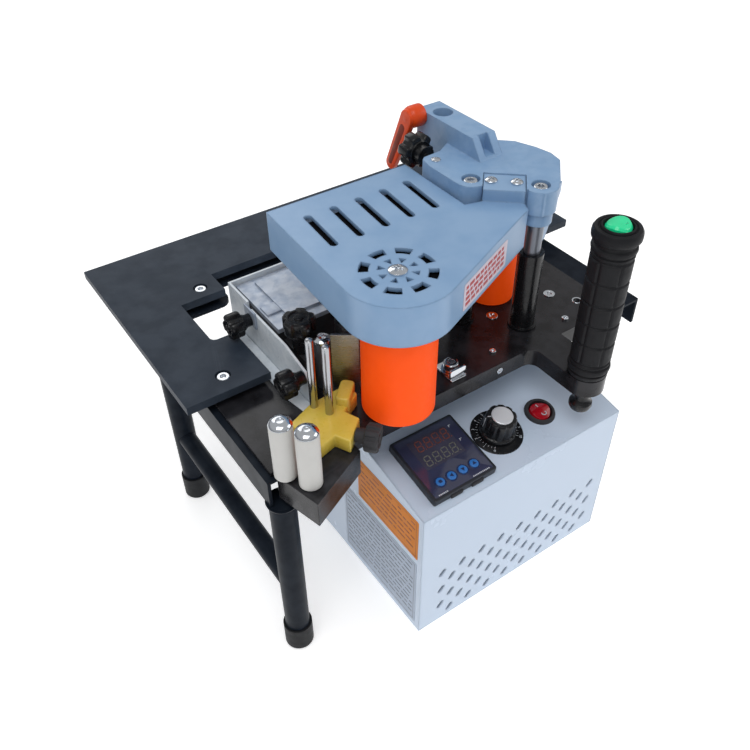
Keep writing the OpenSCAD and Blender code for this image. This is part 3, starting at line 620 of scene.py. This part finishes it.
class BANDER_OT_base(BanderOperator, bpy.types.Operator):
    """Finish the base plate and build its screws, bolt and angle"""
    bl_idname = "bander.base"
    bl_label = "Base plate"

    def execute(self, context):
        paint(base_paint(), "base_plate")
        top = BASE_TOP
        heads = [("flat", 3.9, 0.7, 95.7, -52.8, top, 30), ("flat", 3.9, 0.7, 47.7, -49, top, 10),
                 ("hex", 2.2, 1.5, 84.7, -79.3, top, 0), ("hex", 2.2, 1.5, 23.6, -77.4, top, 20)]
        parts = upright_heads(heads)
        bolt_x, bolt_y, sheet = -10, -77, 1.5
        parts.append((screw_head("hex", 4.6, 5.5), at(bolt_x, bolt_y, top + 3)))
        parts.append((lathe([(0, 0), (6.2, 0), (6.2, 1.2), (0, 1.2)], 48), at(bolt_x, bolt_y, top + sheet)))
        parts.append((slab(oblong(12, 18, 1.5), 0, sheet, 0.3), at(bolt_x, bolt_y, top)))
        parts.append((slab(oblong(12, 8, 1.5), 0, sheet, 0.3), at(bolt_x, -84.5, top + 4, axis=(0, 1, 0))))
        piece("base_fittings", joined(*parts), chrome(), "machine", ["base_screws"])
        rim = lathe([(2.5, 167.02), (3.3, 167.25), (3.5, 167.02)], 40)
        piece("base_hole_rim", rim, chrome(), "machine", matrix=at(106, -69, 0))
        lip = screw_head("flat", 2.2, 0.6)
        piece("lip_screw", lip, chrome(), "machine", matrix=at(20, -89, 161.5, axis=(0, -1, 0)))
        return {"FINISHED"}


class BANDER_OT_box(BanderOperator, bpy.types.Operator):
    """Finish the control box with its vent sheet, labels, back screws and hidden drive"""
    bl_idname = "bander.box"
    bl_label = "Control box"

    def execute(self, context):
        paint(box_paint(), "box_shell", "box_floor")
        paint(cast_metal(), "gearbox", "drive_motor")
        paint(finish("board_green", (0.02, 0.16, 0.06), 0.35, spread=0.3, cloud=400), "speed_board")
        paint(gloss_plastic(), "cable_gland")
        # dark sheet behind the front vents: painted shade for the unlit inside of the box
        shade_sheet = block(-65, -128.3, 91.5, -127.5, 3, 104, 0.2)
        piece("box_vent_lining", shade_sheet, vent_dark(), "machine")
        # labels on the left side: plain grounds with blocks, no lettering
        amber = finish("label_amber", (0.66, 0.21, 0.012), 0.4, spread=0.08, cloud=60, shine=0.15)
        plain = finish("label_plain", (0.40, 0.47, 0.58), 0.35, spread=0.05, cloud=60)
        ink = finish("label_ink", (0.30, 0.06, 0.02), 0.45, spread=0.3)
        grey_ink = finish("label_grey", (0.16, 0.18, 0.22), 0.45, spread=0.1)
        side_x, sheet, ink_top = -68.52, 0.12, 0.16

        def panel(name, y0, y1, z0, z1, ground, mark, rows, warn):
            side = Matrix(((0, 0, -1, 0), (-1, 0, 0, 0), (0, 1, 0, 0), (0, 0, 0, 1)))
            spot = Matrix.Translation((side_x, (y0 + y1) / 2, (z0 + z1) / 2)) @ side
            w, d = abs(y1 - y0), z1 - z0
            piece(name, slab(oblong(w, d, 1.2), 0, sheet), ground, "machine", matrix=spot)
            bars = []
            for r in range(rows):
                v = d / 2 - 5 - r * (d - 9) / rows
                x = -w / 2 + 3.5
                k = 0
                while x < w / 2 - 6:
                    run = 3.0 + (7 * r + 5 * k) % 6
                    run = min(run, w / 2 - 3.5 - x)
                    if not (warn and r == 0 and k % 2):
                        bars.append((block(x, v - 0.55, x + run, v + 0.55, sheet, ink_top), STAY))
                    x += run + 1.3
                    k += 1
            right, top, thin = w / 2 - 2, d / 2 - 2, 0.3
            border = ((-right, top - thin, right, top), (-right, -top, right, -top + thin),
                      (-right, -top, -right + thin, top), (right - thin, -top, right, top))
            for corners in border:
                bars.append((block(*corners, sheet, ink_top), STAY))
            piece(name + "_marks", joined(*bars), mark, "machine", matrix=spot)

        panel("amber_label", -60, -125.5, 75, 112, amber, ink, 6, True)
        panel("table_label", -42, -125, 5, 70, plain, grey_ink, 12, False)
        # screws of the back
        heads = []
        for x in (-58, 85):
            for z in (12, 150):
                heads.append((screw_head("cross", 2.6, 1.4), at(x, -5, z, axis=(0, 1, 0), turn=25)))
        piece("box_back_screws", joined(*heads), turned_steel(), "machine")
        return {"FINISHED"}


class BANDER_OT_controller(BanderOperator, bpy.types.Operator):
    """Build the temperature controller: bezel, window, figures and buttons"""
    bl_idname = "bander.controller"
    bl_label = "Temperature controller"

    def execute(self, context):
        def here(x, s, h=0.0, turn=0.0):
            return on_panel(CONTROLLER[0] + x, CONTROLLER[1] + s, h, turn)

        glass, ink_top = 5.9, 5.96
        body = finish("controller_case", (0.016, 0.019, 0.026), 0.4, pores=1500, depth=0.2,
                      wear_and_highlight=(0.12, 0.13, 0.15))
        bezel = slab(oblong(48, 48, 1.4), 0, 5.6, 0.5, 3)
        notches = []
        for x in (-7, 9):
            notches.append((slab(oblong(9, 2.2, 0.6), -0.02, 2.6, 0.2), Matrix.Translation((x, -23.3, 0))))
        case = slab(oblong(44, 44, 0.5), -48, 0)
        piece("controller_bezel", joined((bezel, STAY), (case, STAY)), body, "machine",
              ["controller"], here(0, 0))
        piece("controller_latches", joined(*notches), black_plastic(), "machine",
              matrix=here(0, -0.6, 0.4))
        face = finish("controller_face", colour("screen"), 0.14, spread=0.15, cloud=40, depth=0.01,
                      lacquer=0.8)
        piece("controller_window", slab(oblong(44.5, 44.5, 1.0), 5.4, glass, 0.15), face, "machine",
              ["display"], here(0, 0))
        red = finish("figures_red", (0.19, 0.055, 0.035), 0.4, spread=0.35, cloud=70, glow=0.05)
        grey = finish("figures_grey", (0.13, 0.135, 0.12), 0.4, spread=0.15, glow=0.05)

        def segment(x, y, l, w, upright):
            end, half = l / 2, w / 2
            pts = [(-end, 0), (-end + half, half), (end - half, half), (end, 0), (end - half, -half),
                   (-end + half, -half)]
            turn = Matrix.Rotation(math.pi / 2, 4, "Z") if upright else STAY
            return slab(pts, glass, ink_top), Matrix.Translation((x, y, 0)) @ turn

        def figure(x, y, w, h):
            t = 0.75
            parts = [segment(x, y + dy, w - 0.4, t, False) for dy in (-h / 2, 0, h / 2)]
            parts += [segment(x + dx, y + dy, h / 2 - 0.4, t, True)
                      for dx in (-w / 2, w / 2) for dy in (-h / 4, h / 4)]
            point = lathe([(0, ink_top), (0.45, ink_top), (0.45, glass)], 16)
            parts.append((point, Matrix.Translation((x + w / 2 + 1.3, y - h / 2, 0))))
            return parts

        for name, y, h, material in (("figures_upper", 13.0, 7.4, red), ("figures_lower", 1.6, 7.0, grey)):
            parts = []
            for i in range(4):
                parts += figure(-10.2 + i * 6.6, y, 3.9, h)
            lean = Matrix(((1, 0.12, 0, 0), (0, 1, 0, 0), (0, 0, 1, 0), (0, 0, 0, 1)))
            piece(name, joined(*parts), material, "machine", matrix=here(0, 0) @ lean)
        haze = finish("window_haze", (0.052, 0.052, 0.085), 0.2, spread=0.2, cloud=60)
        piece("figure_window", slab(oblong(30, 22.5, 1.2), 5.88, glass), haze, "machine",
              matrix=here(0, 7.2, 0.005))
        marks = []
        unit_x, foot_y, pitch = 16.6, -22, 1.2
        for y in (16.6, 4.8):
            marks.append((block(0, 0, 1.8, 0.5, glass, ink_top), Matrix.Translation((unit_x, y, 0))))
            marks.append((block(0, 0, 0.5, 1.4, glass, ink_top), Matrix.Translation((unit_x, y - 1.2, 0))))
        for start, count, width in ((-19.5, 6, 0.8), (6.8, 11, 0.75)):
            for i in range(count):
                dash = block(0, 0, width, 0.9, glass, 5.94)
                marks.append((dash, Matrix.Translation((start + i * pitch, foot_y, 0))))
        piece("controller_marks", joined(*marks), mark_white(), "machine", matrix=here(0, 0))
        rim = finish("button_rim", (0.015, 0.03, 0.10), 0.3, spread=0.1)
        blue = finish("button_blue", (0.03, 0.17, 0.52), 0.28, spread=0.08, lacquer=0.3)
        button_s, button_pitch = -14.3, 8.7
        for i in range(4):
            x = (i - 1.5) * button_pitch
            ring = lathe([(3.1, 5.92), (3.25, 6.2), (3.7, 6.2), (3.95, 5.9)], 40)
            piece(f"button_ring_{i + 1}", ring, rim, "machine", matrix=here(x, button_s))
            cap = lathe([(0, 4.1), (2.95, 4.1), (2.95, 6.35), (2.7, 6.6), (1.5, 6.75), (0, 6.8)], 40)
            piece(f"button_cap_{i + 1}", cap, blue, f"button_{i + 1}", [f"button_{i + 1}"],
                  here(x, button_s))
            square = [(-1.1, -1.0), (1.1, -1.0), (1.1, 1.0), (-1.1, 1.0)]
            arrow = [(0, 1.5), (-1.4, -0.9), (1.4, -0.9)]
            piece(f"button_mark_{i + 1}", slab(arrow if i else square, 6.78, 6.86), rim, f"button_{i + 1}",
                  matrix=here(x, button_s, 0, (0, 90, 180, 0)[i]))
        return {"FINISHED"}


class BANDER_OT_dial(BanderOperator, bpy.types.Operator):
    """Build the speed dial and the power switch"""
    bl_idname = "bander.dial"
    bl_label = "Dial and power switch"

    def execute(self, context):
        spot = on_panel(*DIAL)
        plate = lathe([(3.4, 0.02), (3.4, 0.9), (16.6, 0.9), (17.2, 0.75), (17.4, 0.3), (17.4, 0.02)], 96)
        piece("dial_disc", plate, gloss_plastic(), "machine", ["dial_plate"], spot)
        white = mark_white()
        marks = []
        face, ink_top, first = 0.9, 0.96, 225
        for i in range(31):
            a = math.radians(first - i * 9)
            long = i % 3 == 0
            turn = Matrix.Rotation(a, 4, "Z")
            inner = 12.4 if long else 12.9
            marks.append((block(inner, -0.12, 14, 0.12, face, ink_top), turn))
        figure_r = 15.4
        for i in range(11):
            a = math.radians(first - i * 27)
            upright = Matrix.Rotation(a - math.pi / 2, 4, "Z")
            place = Matrix.Translation((figure_r * math.cos(a), figure_r * math.sin(a), face)) @ upright
            marks.append(words(str(i), 2.5, place))
        piece("dial_marks", joined(*marks), white, "machine", matrix=spot)

        def scallop(a, r, z):
            if z < 4.3:
                return r
            c = abs(math.sin(5 * a))
            return r * (1 - 0.085 * (1 - step(c, 0.1, 0.75)) * step(r / 11, 0.6, 0.9))

        knob = lathe([(0, -3.2), (2.95, -3.2), (2.95, 1.4), (11.4, 1.4), (12, 1.9), (12, 3.6), (11.6, 4.2),
                      (10.9, 4.6),
                      (10.6, 5.4), (10.1, 15.4), (9.7, 16.6), (9.0, 17.2), (7.3, 17.3), (0, 17.3)], 120,
                      scallop)
        piece("speed_knob_body", knob, gloss_plastic(), "speed_knob", ["speed_knob"], spot)
        cap = lathe([(0, 18.2), (3, 18.2), (6.7, 18.15), (7.0, 17.9), (7.0, 17.3)], 72)
        silver = finish("spun_cap", (0.86, 0.88, 0.92), 0.3, spread=0.03, cloud=60, depth=0.03, metal=0.7,
                        rough_spread=0.05)
        piece("speed_knob_cap", cap, silver, "speed_knob", ["knob_cap"], spot)
        down_side = Matrix.Translation((10.25, 0, 6.5)) @ Matrix.Rotation(math.pi / 2, 4, "X")
        line = joined((block(7.2, -0.3, 9.4, 0.3, 17.25, 17.42), STAY),
                      (block(-0.3, 0, 0.3, 9, 0, 0.3), down_side))
        piece("speed_knob_pointer", line, white, "speed_knob",
              matrix=spot @ Matrix.Rotation(math.radians(152), 4, "Z"))

        spot = on_panel(*SWITCH)
        bezel = lathe([(8.0, -5.5), (8.0, 2.2), (8.4, 2.5), (9.6, 2.2), (10.3, 1.2), (10.5, 0.02),
                       (8.8, 0.02),
                       (8.8, -18)], 72)
        piece("switch_ring", bezel, black_plastic(), "machine", ["switch_bezel"], spot)
        # The glow is painted light: the rocker is no lamp, and its emission brightens the red.
        red = finish("rocker_red", colour("rocker"), 0.2, spread=0.08, depth=0.03, lacquer=0.6, glow=0.08)

        def crown(x, y):
            rim = 7.2
            sag = 1.9 * (0.5 - 0.5 * math.cos(math.pi * y / rim))
            return 2.3 + 0.9 * math.cos(x / rim) - sag - 1.2 * step(math.hypot(x, y), 6.5, rim)

        piece("power_rocker_cap", relief(7.15, crown, skirt=3.4), red, "power_rocker",
              ["power_rocker"], spot)
        ring = lathe([(1.35, 0), (1.35, 0.3), (1.85, 0.3), (1.85, 0)], 32)
        bar = block(-0.25, -1.7, 0.25, 1.7, 0, 0.3)
        marks = joined((ring, Matrix.Translation((0.3, -3.0, crown(0.3, -3.0) - 0.05))),
                       (bar, Matrix.Translation((0, 3.2, crown(0, 3.2) - 0.05))))
        piece("power_rocker_marks", marks, white, "power_rocker", matrix=spot)
        return {"FINISHED"}


class BANDER_OT_rollers(BanderOperator, bpy.types.Operator):
    """Finish the feed rollers, shafts, belt and the posts' sleeves"""
    bl_idname = "bander.rollers"
    bl_label = "Rollers and posts"

    def execute(self, context):
        paint(feed_rubber(), "front_roller", "back_roller")
        paint(turned_steel(), "front_shaft", "back_shaft", "glue_roller")
        paint(finish("belt_rubber", (0.012, 0.012, 0.012), 0.6, pores=900, depth=0.5), "drive_belt")
        paint(post_metal(), "posts")
        paint(gloss_plastic(), "sleeves")
        for name, x, y, r, z in (("front", -53, -82, 20.2, 230), ("back", 61.3, -30.7, 13.9, 228)):
            disc = lathe([(5.1, z + 0.02), (6.5, z + 0.6), (r - 3, z + 0.6), (r, z + 0.3), (r, z + 0.02)], 64)
            piece(f"{name}_roller_disc", disc, turned_steel(), f"{name}_roller", matrix=at(x, y, 0))
        return {"FINISHED"}


class BANDER_OT_cover(BanderOperator, bpy.types.Operator):
    """Finish the vented top cover with its screw and side label"""
    bl_idname = "bander.cover"
    bl_label = "Top cover"

    def execute(self, context):
        paint(cover_paint(), "top_cover")
        # dark sheets under the grille and the slots: painted shade for the unlit inside of the cover
        low, high = 255.2, 256.2
        ring = lathe([(5.5, low), (27, low), (27, high), (5.5, high)], 64)
        strip = slab(oblong(84, 34, 3), low, high, 0.2)
        shade_sheet = joined((ring, at(GRILLE_X, GRILLE_Y, 0)), (strip, at(-31, -24, 0)))
        piece("cover_vent_lining", shade_sheet, vent_dark(), "machine")
        screws("cover_screw_head", "cover_screw", [("cross", 5.2, 2.2, GRILLE_X, GRILLE_Y, 260, 35)])
        # label on the slanted right side: a pale ground with plain blocks
        ground = finish("label_pale", (0.66, 0.58, 0.66), 0.35, spread=0.06, cloud=200)
        mark = finish("label_mark", (0.45, 0.06, 0.07), 0.4, spread=0.1)
        a, b = Vector((-39.7, -109.3, 0)), Vector((43.2, -73.3, 0))
        along = (b - a).normalized()
        out = Vector((along.y, -along.x, 0))
        spot = a + along * 38 + out * 0.06 + Vector((0, 0, 246.5))
        turned = Matrix((along, Vector((0, 0, 1)), out)).transposed().to_4x4()
        here = Matrix.Translation(spot) @ turned
        piece("cover_label", slab(oblong(52, 17, 1.5), 0, 0.12), ground, "machine", matrix=here)
        bars = []
        for r in range(4):
            y = 5.2 - r * 3.5
            x = -23.5
            k = 0
            while x < 20:
                run = min(2.6 + (5 * r + 3 * k) % 4, 23 - x)
                bars.append((block(x, y - 1.1, x + run, y + 1.1, 0.12, 0.16), STAY))
                x += run + 1.2
                k += 1
        piece("cover_label_marks", joined(*bars), mark, "machine", matrix=here)
        return {"FINISHED"}


class BANDER_OT_head(BanderOperator, bpy.types.Operator):
    """Finish the clamp head and build its screws, lever and lock knob"""
    bl_idname = "bander.head"
    bl_label = "Clamp head"

    def execute(self, context):
        paint(head_paint(), "clamp_head")
        heads = [("hex", 4.2, 3.3, 58, -66.5, 264, 10), ("hex", 4.2, 3.3, 30, -37.5, 264, 40),
                 ("cross", 3.7, 2.2, 38.2, -45.8, 267.4, 15), ("cross", 3.7, 2.2, 48.7, -56.3, 267.4, 50),
                 ("slot", 3.0, 1.2, 27.6, -7.6, 268, 60)]
        screws("head_screw_heads", "head_screws", heads)
        orange = finish("lever_orange", colour("lever"), 0.34, spread=0.08, cloud=150, pores=1200, depth=0.1,
                        wear_and_highlight=(0.9, 0.25, 0.08))
        # lever: its arm lies in the plane across X, hub along -X
        px, py, pz = 46.7, 33.5, 277.0
        hub = lathe([(0, 0), (6.8, 0), (7.0, 0.6), (7.0, 7.4), (6.4, 9.2), (4.6, 11.0), (2.0, 12.0),
                     (0, 12.1)], 48)
        stud = stem(2.0, -16, 0.5)
        along, down = 17, -37
        run = math.hypot(along, down)

        def outline(wide, narrow, far, steps=10):
            pts = []
            for i in range(steps + 1):
                t = math.pi / 2 + math.pi * i / steps
                pts.append((wide * math.cos(t), wide * math.sin(t)))
            for i in range(steps + 1):
                t = -math.pi / 2 + math.pi * i / steps
                pts.append((far + narrow * math.cos(t), narrow * math.sin(t)))
            return pts
        arm = slab(outline(5.6, 4.3, run), 7.5, 11.9, 0.7, 3)
        channel = slab(outline(2.5, 2.0, run - 10), 11.7, 11.96, 0.1)
        flat = Matrix(((0, 0, -1, 0), (1, 0, 0, 0), (0, 1, 0, 0), (0, 0, 0, 1)))
        turn = Matrix.Rotation(math.atan2(down, along), 4, "Z")
        spot = Matrix.Translation((px, py, pz)) @ flat
        whole = joined((hub, STAY), (stud, STAY), (arm, turn))
        piece("clamp_lever_body", whole, orange, "clamp_lever", ["clamp_lever"], spot)
        # Flat dark strip on the arm's face: painted shade standing for the shadow in the lever's channel.
        dark = finish("lever_shade", (0.20, 0.018, 0.004), 0.5, spread=0.2)
        piece("clamp_lever_channel", channel, dark, "clamp_lever",
              matrix=spot @ turn @ Matrix.Translation((8, 0, 0)))
        knob = star_knob(11, 10, 6, 0.2, hub=6, hub_r=0.55)
        whole = joined((knob, STAY), (stem(2.0, -24, -5.5), STAY),
                       (lathe([(6.1, -0.2), (7.2, -0.8), (7.8, -0.2)], 48), STAY))
        piece("lock_knob", whole, gloss_plastic(), "head_knob", ["head_knob"],
              at(30, 11, 264.5, axis=(0, 1, 0), turn=12))
        return {"FINISHED"}


class BANDER_OT_pot(BanderOperator, bpy.types.Operator):
    """Finish the glue pot and build its lid, fittings and knobs"""
    bl_idname = "bander.pot"
    bl_label = "Glue pot"

    def execute(self, context):
        paint(cast_metal(), "glue_pot")
        paint(lid_metal(), "pot_lid")
        paint(shield_paint(), "pot_shield")
        paint(turned_steel(), "heaters")
        left = (-1, 0, 0)
        for name, y, z, r, neck in (("side", 15.5, 188, 8.2, 4), ("front", -47, 185, 8.5, 3.5)):
            grip = star_knob(r, 9.5, 4, 0.3)
            base = 0.6 + neck
            shank = lathe([(0, 0.4), (r * 0.5, 0.4), (r * 0.5, neck), (r * 0.62, base + 1.4),
                           (r * 0.7, base + 2.6),
                           (0, base + 2.6)], 40)
            whole = joined((grip, Matrix.Translation((0, 0, base + 2.4))), (shank, STAY),
                           (stem(2.45, -6, 1), STAY))
            piece(f"{name}_knob_body", whole, gloss_plastic(), f"{name}_knob",
                  [f"{name}_knob"],
                  at(-95.3, y, z, axis=left, turn=20))
        grip = star_knob(10, 10, 5, 0.2)
        shank = lathe([(0, 0.02), (4.5, 0.02), (5.2, 10), (7.0, 14), (7.0, 15.2), (0, 15.2)], 40)
        whole = joined((grip, Matrix.Translation((0, 0, 15))), (shank, STAY))
        piece("dose_knob_body", whole, gloss_plastic(), "dose_knob", ["dose_knob"],
              at(-84.5, -26.5, 186, turn=50))
        # fork behind the side knob, and the lid's tab
        fork = slab([(-7, -6), (7, -6), (7, 6), (2.5, 6), (2.5, -1), (-2.5, -1), (-2.5, 6), (-7, 6)], 0, 1.4,
                    0.3)
        piece("lid_fork", fork, lid_metal(), "machine",
              matrix=at(-95.1, 15.5, 190, axis=left) @ Matrix.Rotation(math.pi / 2, 4, "Z"))
        tab = block(-4, -5, 9, 5, 0, 1.2, 0.3)
        piece("lid_tab", tab, lid_metal(), "pot_lid", matrix=at(-86, 8, 195.02))
        small = screw_head("cross", 1.8, 0.9)
        piece("pot_small_screw", small, chrome(), "machine", matrix=at(-80, -14.5, 192.0, turn=10))
        flange = slab([(-104.6, 30), (-95.2, 30), (-95.2, -54), (-98.5, -58), (-101.5, -57.5), (-104.6, -40)],
                      BASE_TOP + 0.05, BASE_TOP + 1, 0.3)
        piece("shield_flange", flange, shield_paint(), "machine")
        spout = slab([(-3, 0), (3, 0), (3, 9), (-1, 9), (-1, 5), (-3, 5)], 0, 1.2, 0.25)
        pale = finish("clip_pale", (0.55, 0.52, 0.42), 0.35, spread=0.1, metal=0.4)
        piece("pot_clip", spout, pale, "machine", matrix=at(-50, -14, 186, axis=(0, -1, 0)))
        return {"FINISHED"}


class BANDER_OT_feed(BanderOperator, bpy.types.Operator):
    """Build the tape feed: bracket, yellow guide, pins, rollers and thumb knob"""
    bl_idname = "bander.feed"
    bl_label = "Tape feed"

    def execute(self, context):
        paint(turned_steel(), "steel_guide")
        paint(bracket_paint(), "feed_bracket")
        top = BASE_TOP
        for n, (x, y) in enumerate(((-134.4, -91.5), (-126.5, -104.5)), 1):
            body, tube_h = f"tape_roller_{n}", 38.3
            tube = lathe([(0, -6.5), (2, -6.5), (2, 0.5), (5.9, 0.5), (6.45, 1.0), (6.5, 1.6), (6.5, 37.4),
                          (6.2, 38.2), (0, tube_h)], 64)
            piece(f"tape_tube_{n}", tube, white_roller(), body, [body], at(x, y, top))
            dome = lathe([(0, 0), (6.4, 0), (6.5, 0.4), (5.9, 1.5), (4.6, 2.4), (3.0, 2.9), (2.2, 3.0),
                          (2.0, 2.2),
                          (0, 2.0)], 56)
            piece(f"tape_cap_{n}", dome, chrome(), body, matrix=at(x, y, top + tube_h))
        yellow = finish("guide_yellow", colour("guide"), 0.32, spread=0.06, cloud=120, pores=900, depth=0.15,
                        lacquer=0.25, wear_and_highlight=(0.9, 0.75, 0.25))
        shape = [(-117.5, -68), (-113, -93), (-102, -90), (-97.5, -99), (-83, -86.5), (-87, -77), (-73, -69),
                 (-73, -59), (-82, -59), (-101, -61)]
        block_top = 177
        body = slab(shape, top + 0.1, block_top, 1.1, 3, 20)
        piece("guide_block", body, yellow, "tape_guide", ["tape_guide"])
        arm = slab(oblong(17, 8.4, 2.6), 170, 182.5, 1.2, 3, 20)
        piece("guide_arm", arm, yellow, "tape_guide", matrix=at(-80.0, -67.2, 0, turn=44))
        pins = []
        for x, y in ((-99, -63.6), (-94.7, -73.4)):
            pin = lathe([(2.4, -0.5), (2.4, 47.4), (2.1, 48.3), (1.2, 48.9), (0, 49)], 40)
            pins.append((pin, at(x, y, block_top)))
        dim = finish("pin_chrome", (0.42, 0.43, 0.45), 0.14, spread=0.03, depth=0.02, metal=1.0,
                     rough_spread=0.04)
        piece("guide_pins", joined(*pins), dim, "tape_guide")
        turn = math.radians(-49.2)
        axis = (math.cos(turn), math.sin(turn), 0)
        grip = star_knob(8.5, 8, 9, 0.12)
        neck = lathe([(0, 0.4), (4.3, 0.4), (4.9, 6.2), (0, 6.2)], 40)
        whole = joined((grip, Matrix.Translation((0, 0, 6))), (neck, STAY), (stem(1.95, -6, 1), STAY))
        piece("thumb_knob_body", whole, black_plastic(), "thumb_knob", ["thumb_knob"],
              at(-90.1, -92.6, 172.5, axis=axis))
        tube_h = 34.6
        tube = lathe([(0, -3), (1.95, -3), (1.95, 0.3), (4.5, 0.3), (4.5, tube_h), (0, tube_h)], 48)
        piece("guide_tube", tube, post_metal(), "guide_roller", ["guide_roller"],
              at(GUIDE_X, GUIDE_Y, top))
        piece("guide_tube_screw", screw_head("dome", 5.2, 3.2), chrome(), "guide_roller",
              matrix=at(GUIDE_X, GUIDE_Y, top + tube_h))
        return {"FINISHED"}


class BANDER_OT_handle(BanderOperator, bpy.types.Operator):
    """Build the block-grooved grip, its collar, foot and push switch"""
    bl_idname = "bander.handle"
    bl_label = "Handle"

    def execute(self, context):
        opts = sizes()
        rows, blocks, deep = opts.grip_rows, opts.grip_blocks, opts.groove / MM
        low, high, radius = 12.0, 84.0, 13.2
        pitch = (high - low) / rows
        switch_z = 265.6

        def groove(a, r, z):
            if r < 12 or z > 91 or z < 3:
                return r
            cut = 0.0
            if low - 1 <= z <= high + 1:
                near = abs((z - low + pitch / 2) % pitch - pitch / 2)
                cut = 1 - step(near, 0.45, 1.1)
                if low < z < high:
                    side = abs((a * blocks / (2 * math.pi) + 0.5) % 1 - 0.5) * 2 * math.pi * radius / blocks
                    cut = max(cut, 1 - step(side, 0.35, 1.0))
            return r - deep * cut

        profile = [(0, 0.02), (12.3, 0.02), (13.0, 0.8), (13.2, 3.0), (12.3, 3.6), (12.3, 4.4), (13.6, 5.0),
                   (13.9, 6.5),
                   (13.6, 8.0), (12.5, 8.5), (12.5, 9.3), (radius, 10.0)]
        z = 10.4
        while z < 86:
            profile.append((radius, z))
            z += 0.4
        profile += [(radius, 86.4), (12.5, 86.8), (12.5, 87.6), (13.6, 88.2), (13.9, 89.4), (13.6, 90.8),
                    (12.4, 91.6), (12.4, 93.4), (14.0, 94.6), (14.8, 95.6), (15.0, 97.2), (14.8, 99.6),
                    (13.8, 101.3), (12.4, 101.9), (11.6, 101.6), (11.1, 100.8), (10.5, 100.8), (10.2, 101.9),
                    (9.7, 102.4), (9.1, 102.4), (8.9, 101.9), (8.8, 97), (0, 97)]
        slim = Matrix.Diagonal((0.925, 0.925, 1, 1))
        grip = lathe(profile, blocks * 20, groove)
        rubber = finish("grip_rubber", colour("grip"), 0.5, spread=0.1, cloud=120, pores=1500, depth=0.2,
                        shine=0.15)
        piece("grip", grip, rubber, "machine", ["handle"],
              at(GRIP_X, GRIP_Y, BASE_TOP, turn=10) @ slim)
        foot = lathe([(0, -31), (4.2, -31), (6.4, -30), (7.4, -27.6), (7.2, -25.2), (5.4, -23.4),
                      (4.7, -21.6),
                      (4.8, -17.5), (6.2, -15), (7.2, -14), (7.2, -12.1)], 56)
        piece("grip_foot", foot, gloss_plastic(), "machine",
              matrix=at(GRIP_X, GRIP_Y, BASE_TOP))
        washer = lathe([(0, -13.4), (8.2, -13.4), (8.5, -13.1), (8.5, -12.4), (8.2, -12.1), (0, -12.1)], 56)
        piece("grip_washer", washer, chrome(), "machine", matrix=at(GRIP_X, GRIP_Y, BASE_TOP))
        # The glow is painted light: the push switch is no lamp, and its emission brightens the green.
        green = finish("push_green", colour("push"), 0.18, spread=0.05, cloud=200, depth=0.03, lacquer=0.6,
                       glow=0.18)

        def crown(x, y):
            return 3.4 + 2.4 * math.cos(y / 5.0) - 1.2 * step(math.hypot(x, y), 6.2, 7.3)
        piece("push_cap", relief(7.3, crown), green, "handle_switch", ["handle_switch"],
              at(GRIP_X, GRIP_Y, switch_z, turn=20))
        ring = lathe([(0.9, 0), (0.9, 0.12), (1.2, 0.12), (1.2, 0)], 32)
        pale = finish("push_mark", (0.10, 0.72, 0.42), 0.3, spread=0.05)
        piece("push_mark", ring, pale, "handle_switch",
              matrix=at(GRIP_X + 2.2, GRIP_Y - 2.4, switch_z + 5.35))
        return {"FINISHED"}


class BANDER_PT_panel(bpy.types.Panel):
    """Lists the machine's pieces, sizes and colours"""
    bl_label = "Edge Banding Machine"
    bl_idname = "BANDER_PT_panel"
    bl_space_type = "VIEW_3D"
    bl_region_type = "UI"
    bl_category = "Edge Bander"

    def draw(self, context):
        layout = self.layout
        for group in ("bander_sizes", "bander_colours", "bander_stage"):
            box = layout.box()
            settings = getattr(context.scene, group)
            for name in settings.__annotations__:
                box.prop(settings, name)
        for operator in OPERATORS:
            layout.operator(operator.bl_idname)


OPERATORS = (BANDER_OT_stage, BANDER_OT_table, BANDER_OT_base, BANDER_OT_box, BANDER_OT_controller,
             BANDER_OT_dial, BANDER_OT_rollers, BANDER_OT_cover, BANDER_OT_head, BANDER_OT_pot,
             BANDER_OT_feed, BANDER_OT_handle)
GROUPS = (("bander_sizes", BanderSizes), ("bander_colours", BanderColours), ("bander_stage", BanderStage))


def register():
    for name, group in GROUPS:
        bpy.utils.register_class(group)
        setattr(bpy.types.Scene, name, PointerProperty(type=group))
    for cls in (*OPERATORS, BANDER_PT_panel):
        bpy.utils.register_class(cls)


def unregister():
    for cls in reversed((*OPERATORS, BANDER_PT_panel)):
        bpy.utils.unregister_class(cls)
    for name, group in reversed(GROUPS):
        delattr(bpy.types.Scene, name)
        bpy.utils.unregister_class(group)


def main():
    """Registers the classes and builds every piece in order."""
    register()
    paint(finish("hidden_metal", (0.4, 0.41, 0.42), 0.4, metal=0.7), "potentiometer")
    for operator in OPERATORS:
        getattr(bpy.ops.bander, operator.bl_idname.split(".")[1])()


if __name__ == "__main__":
    main()
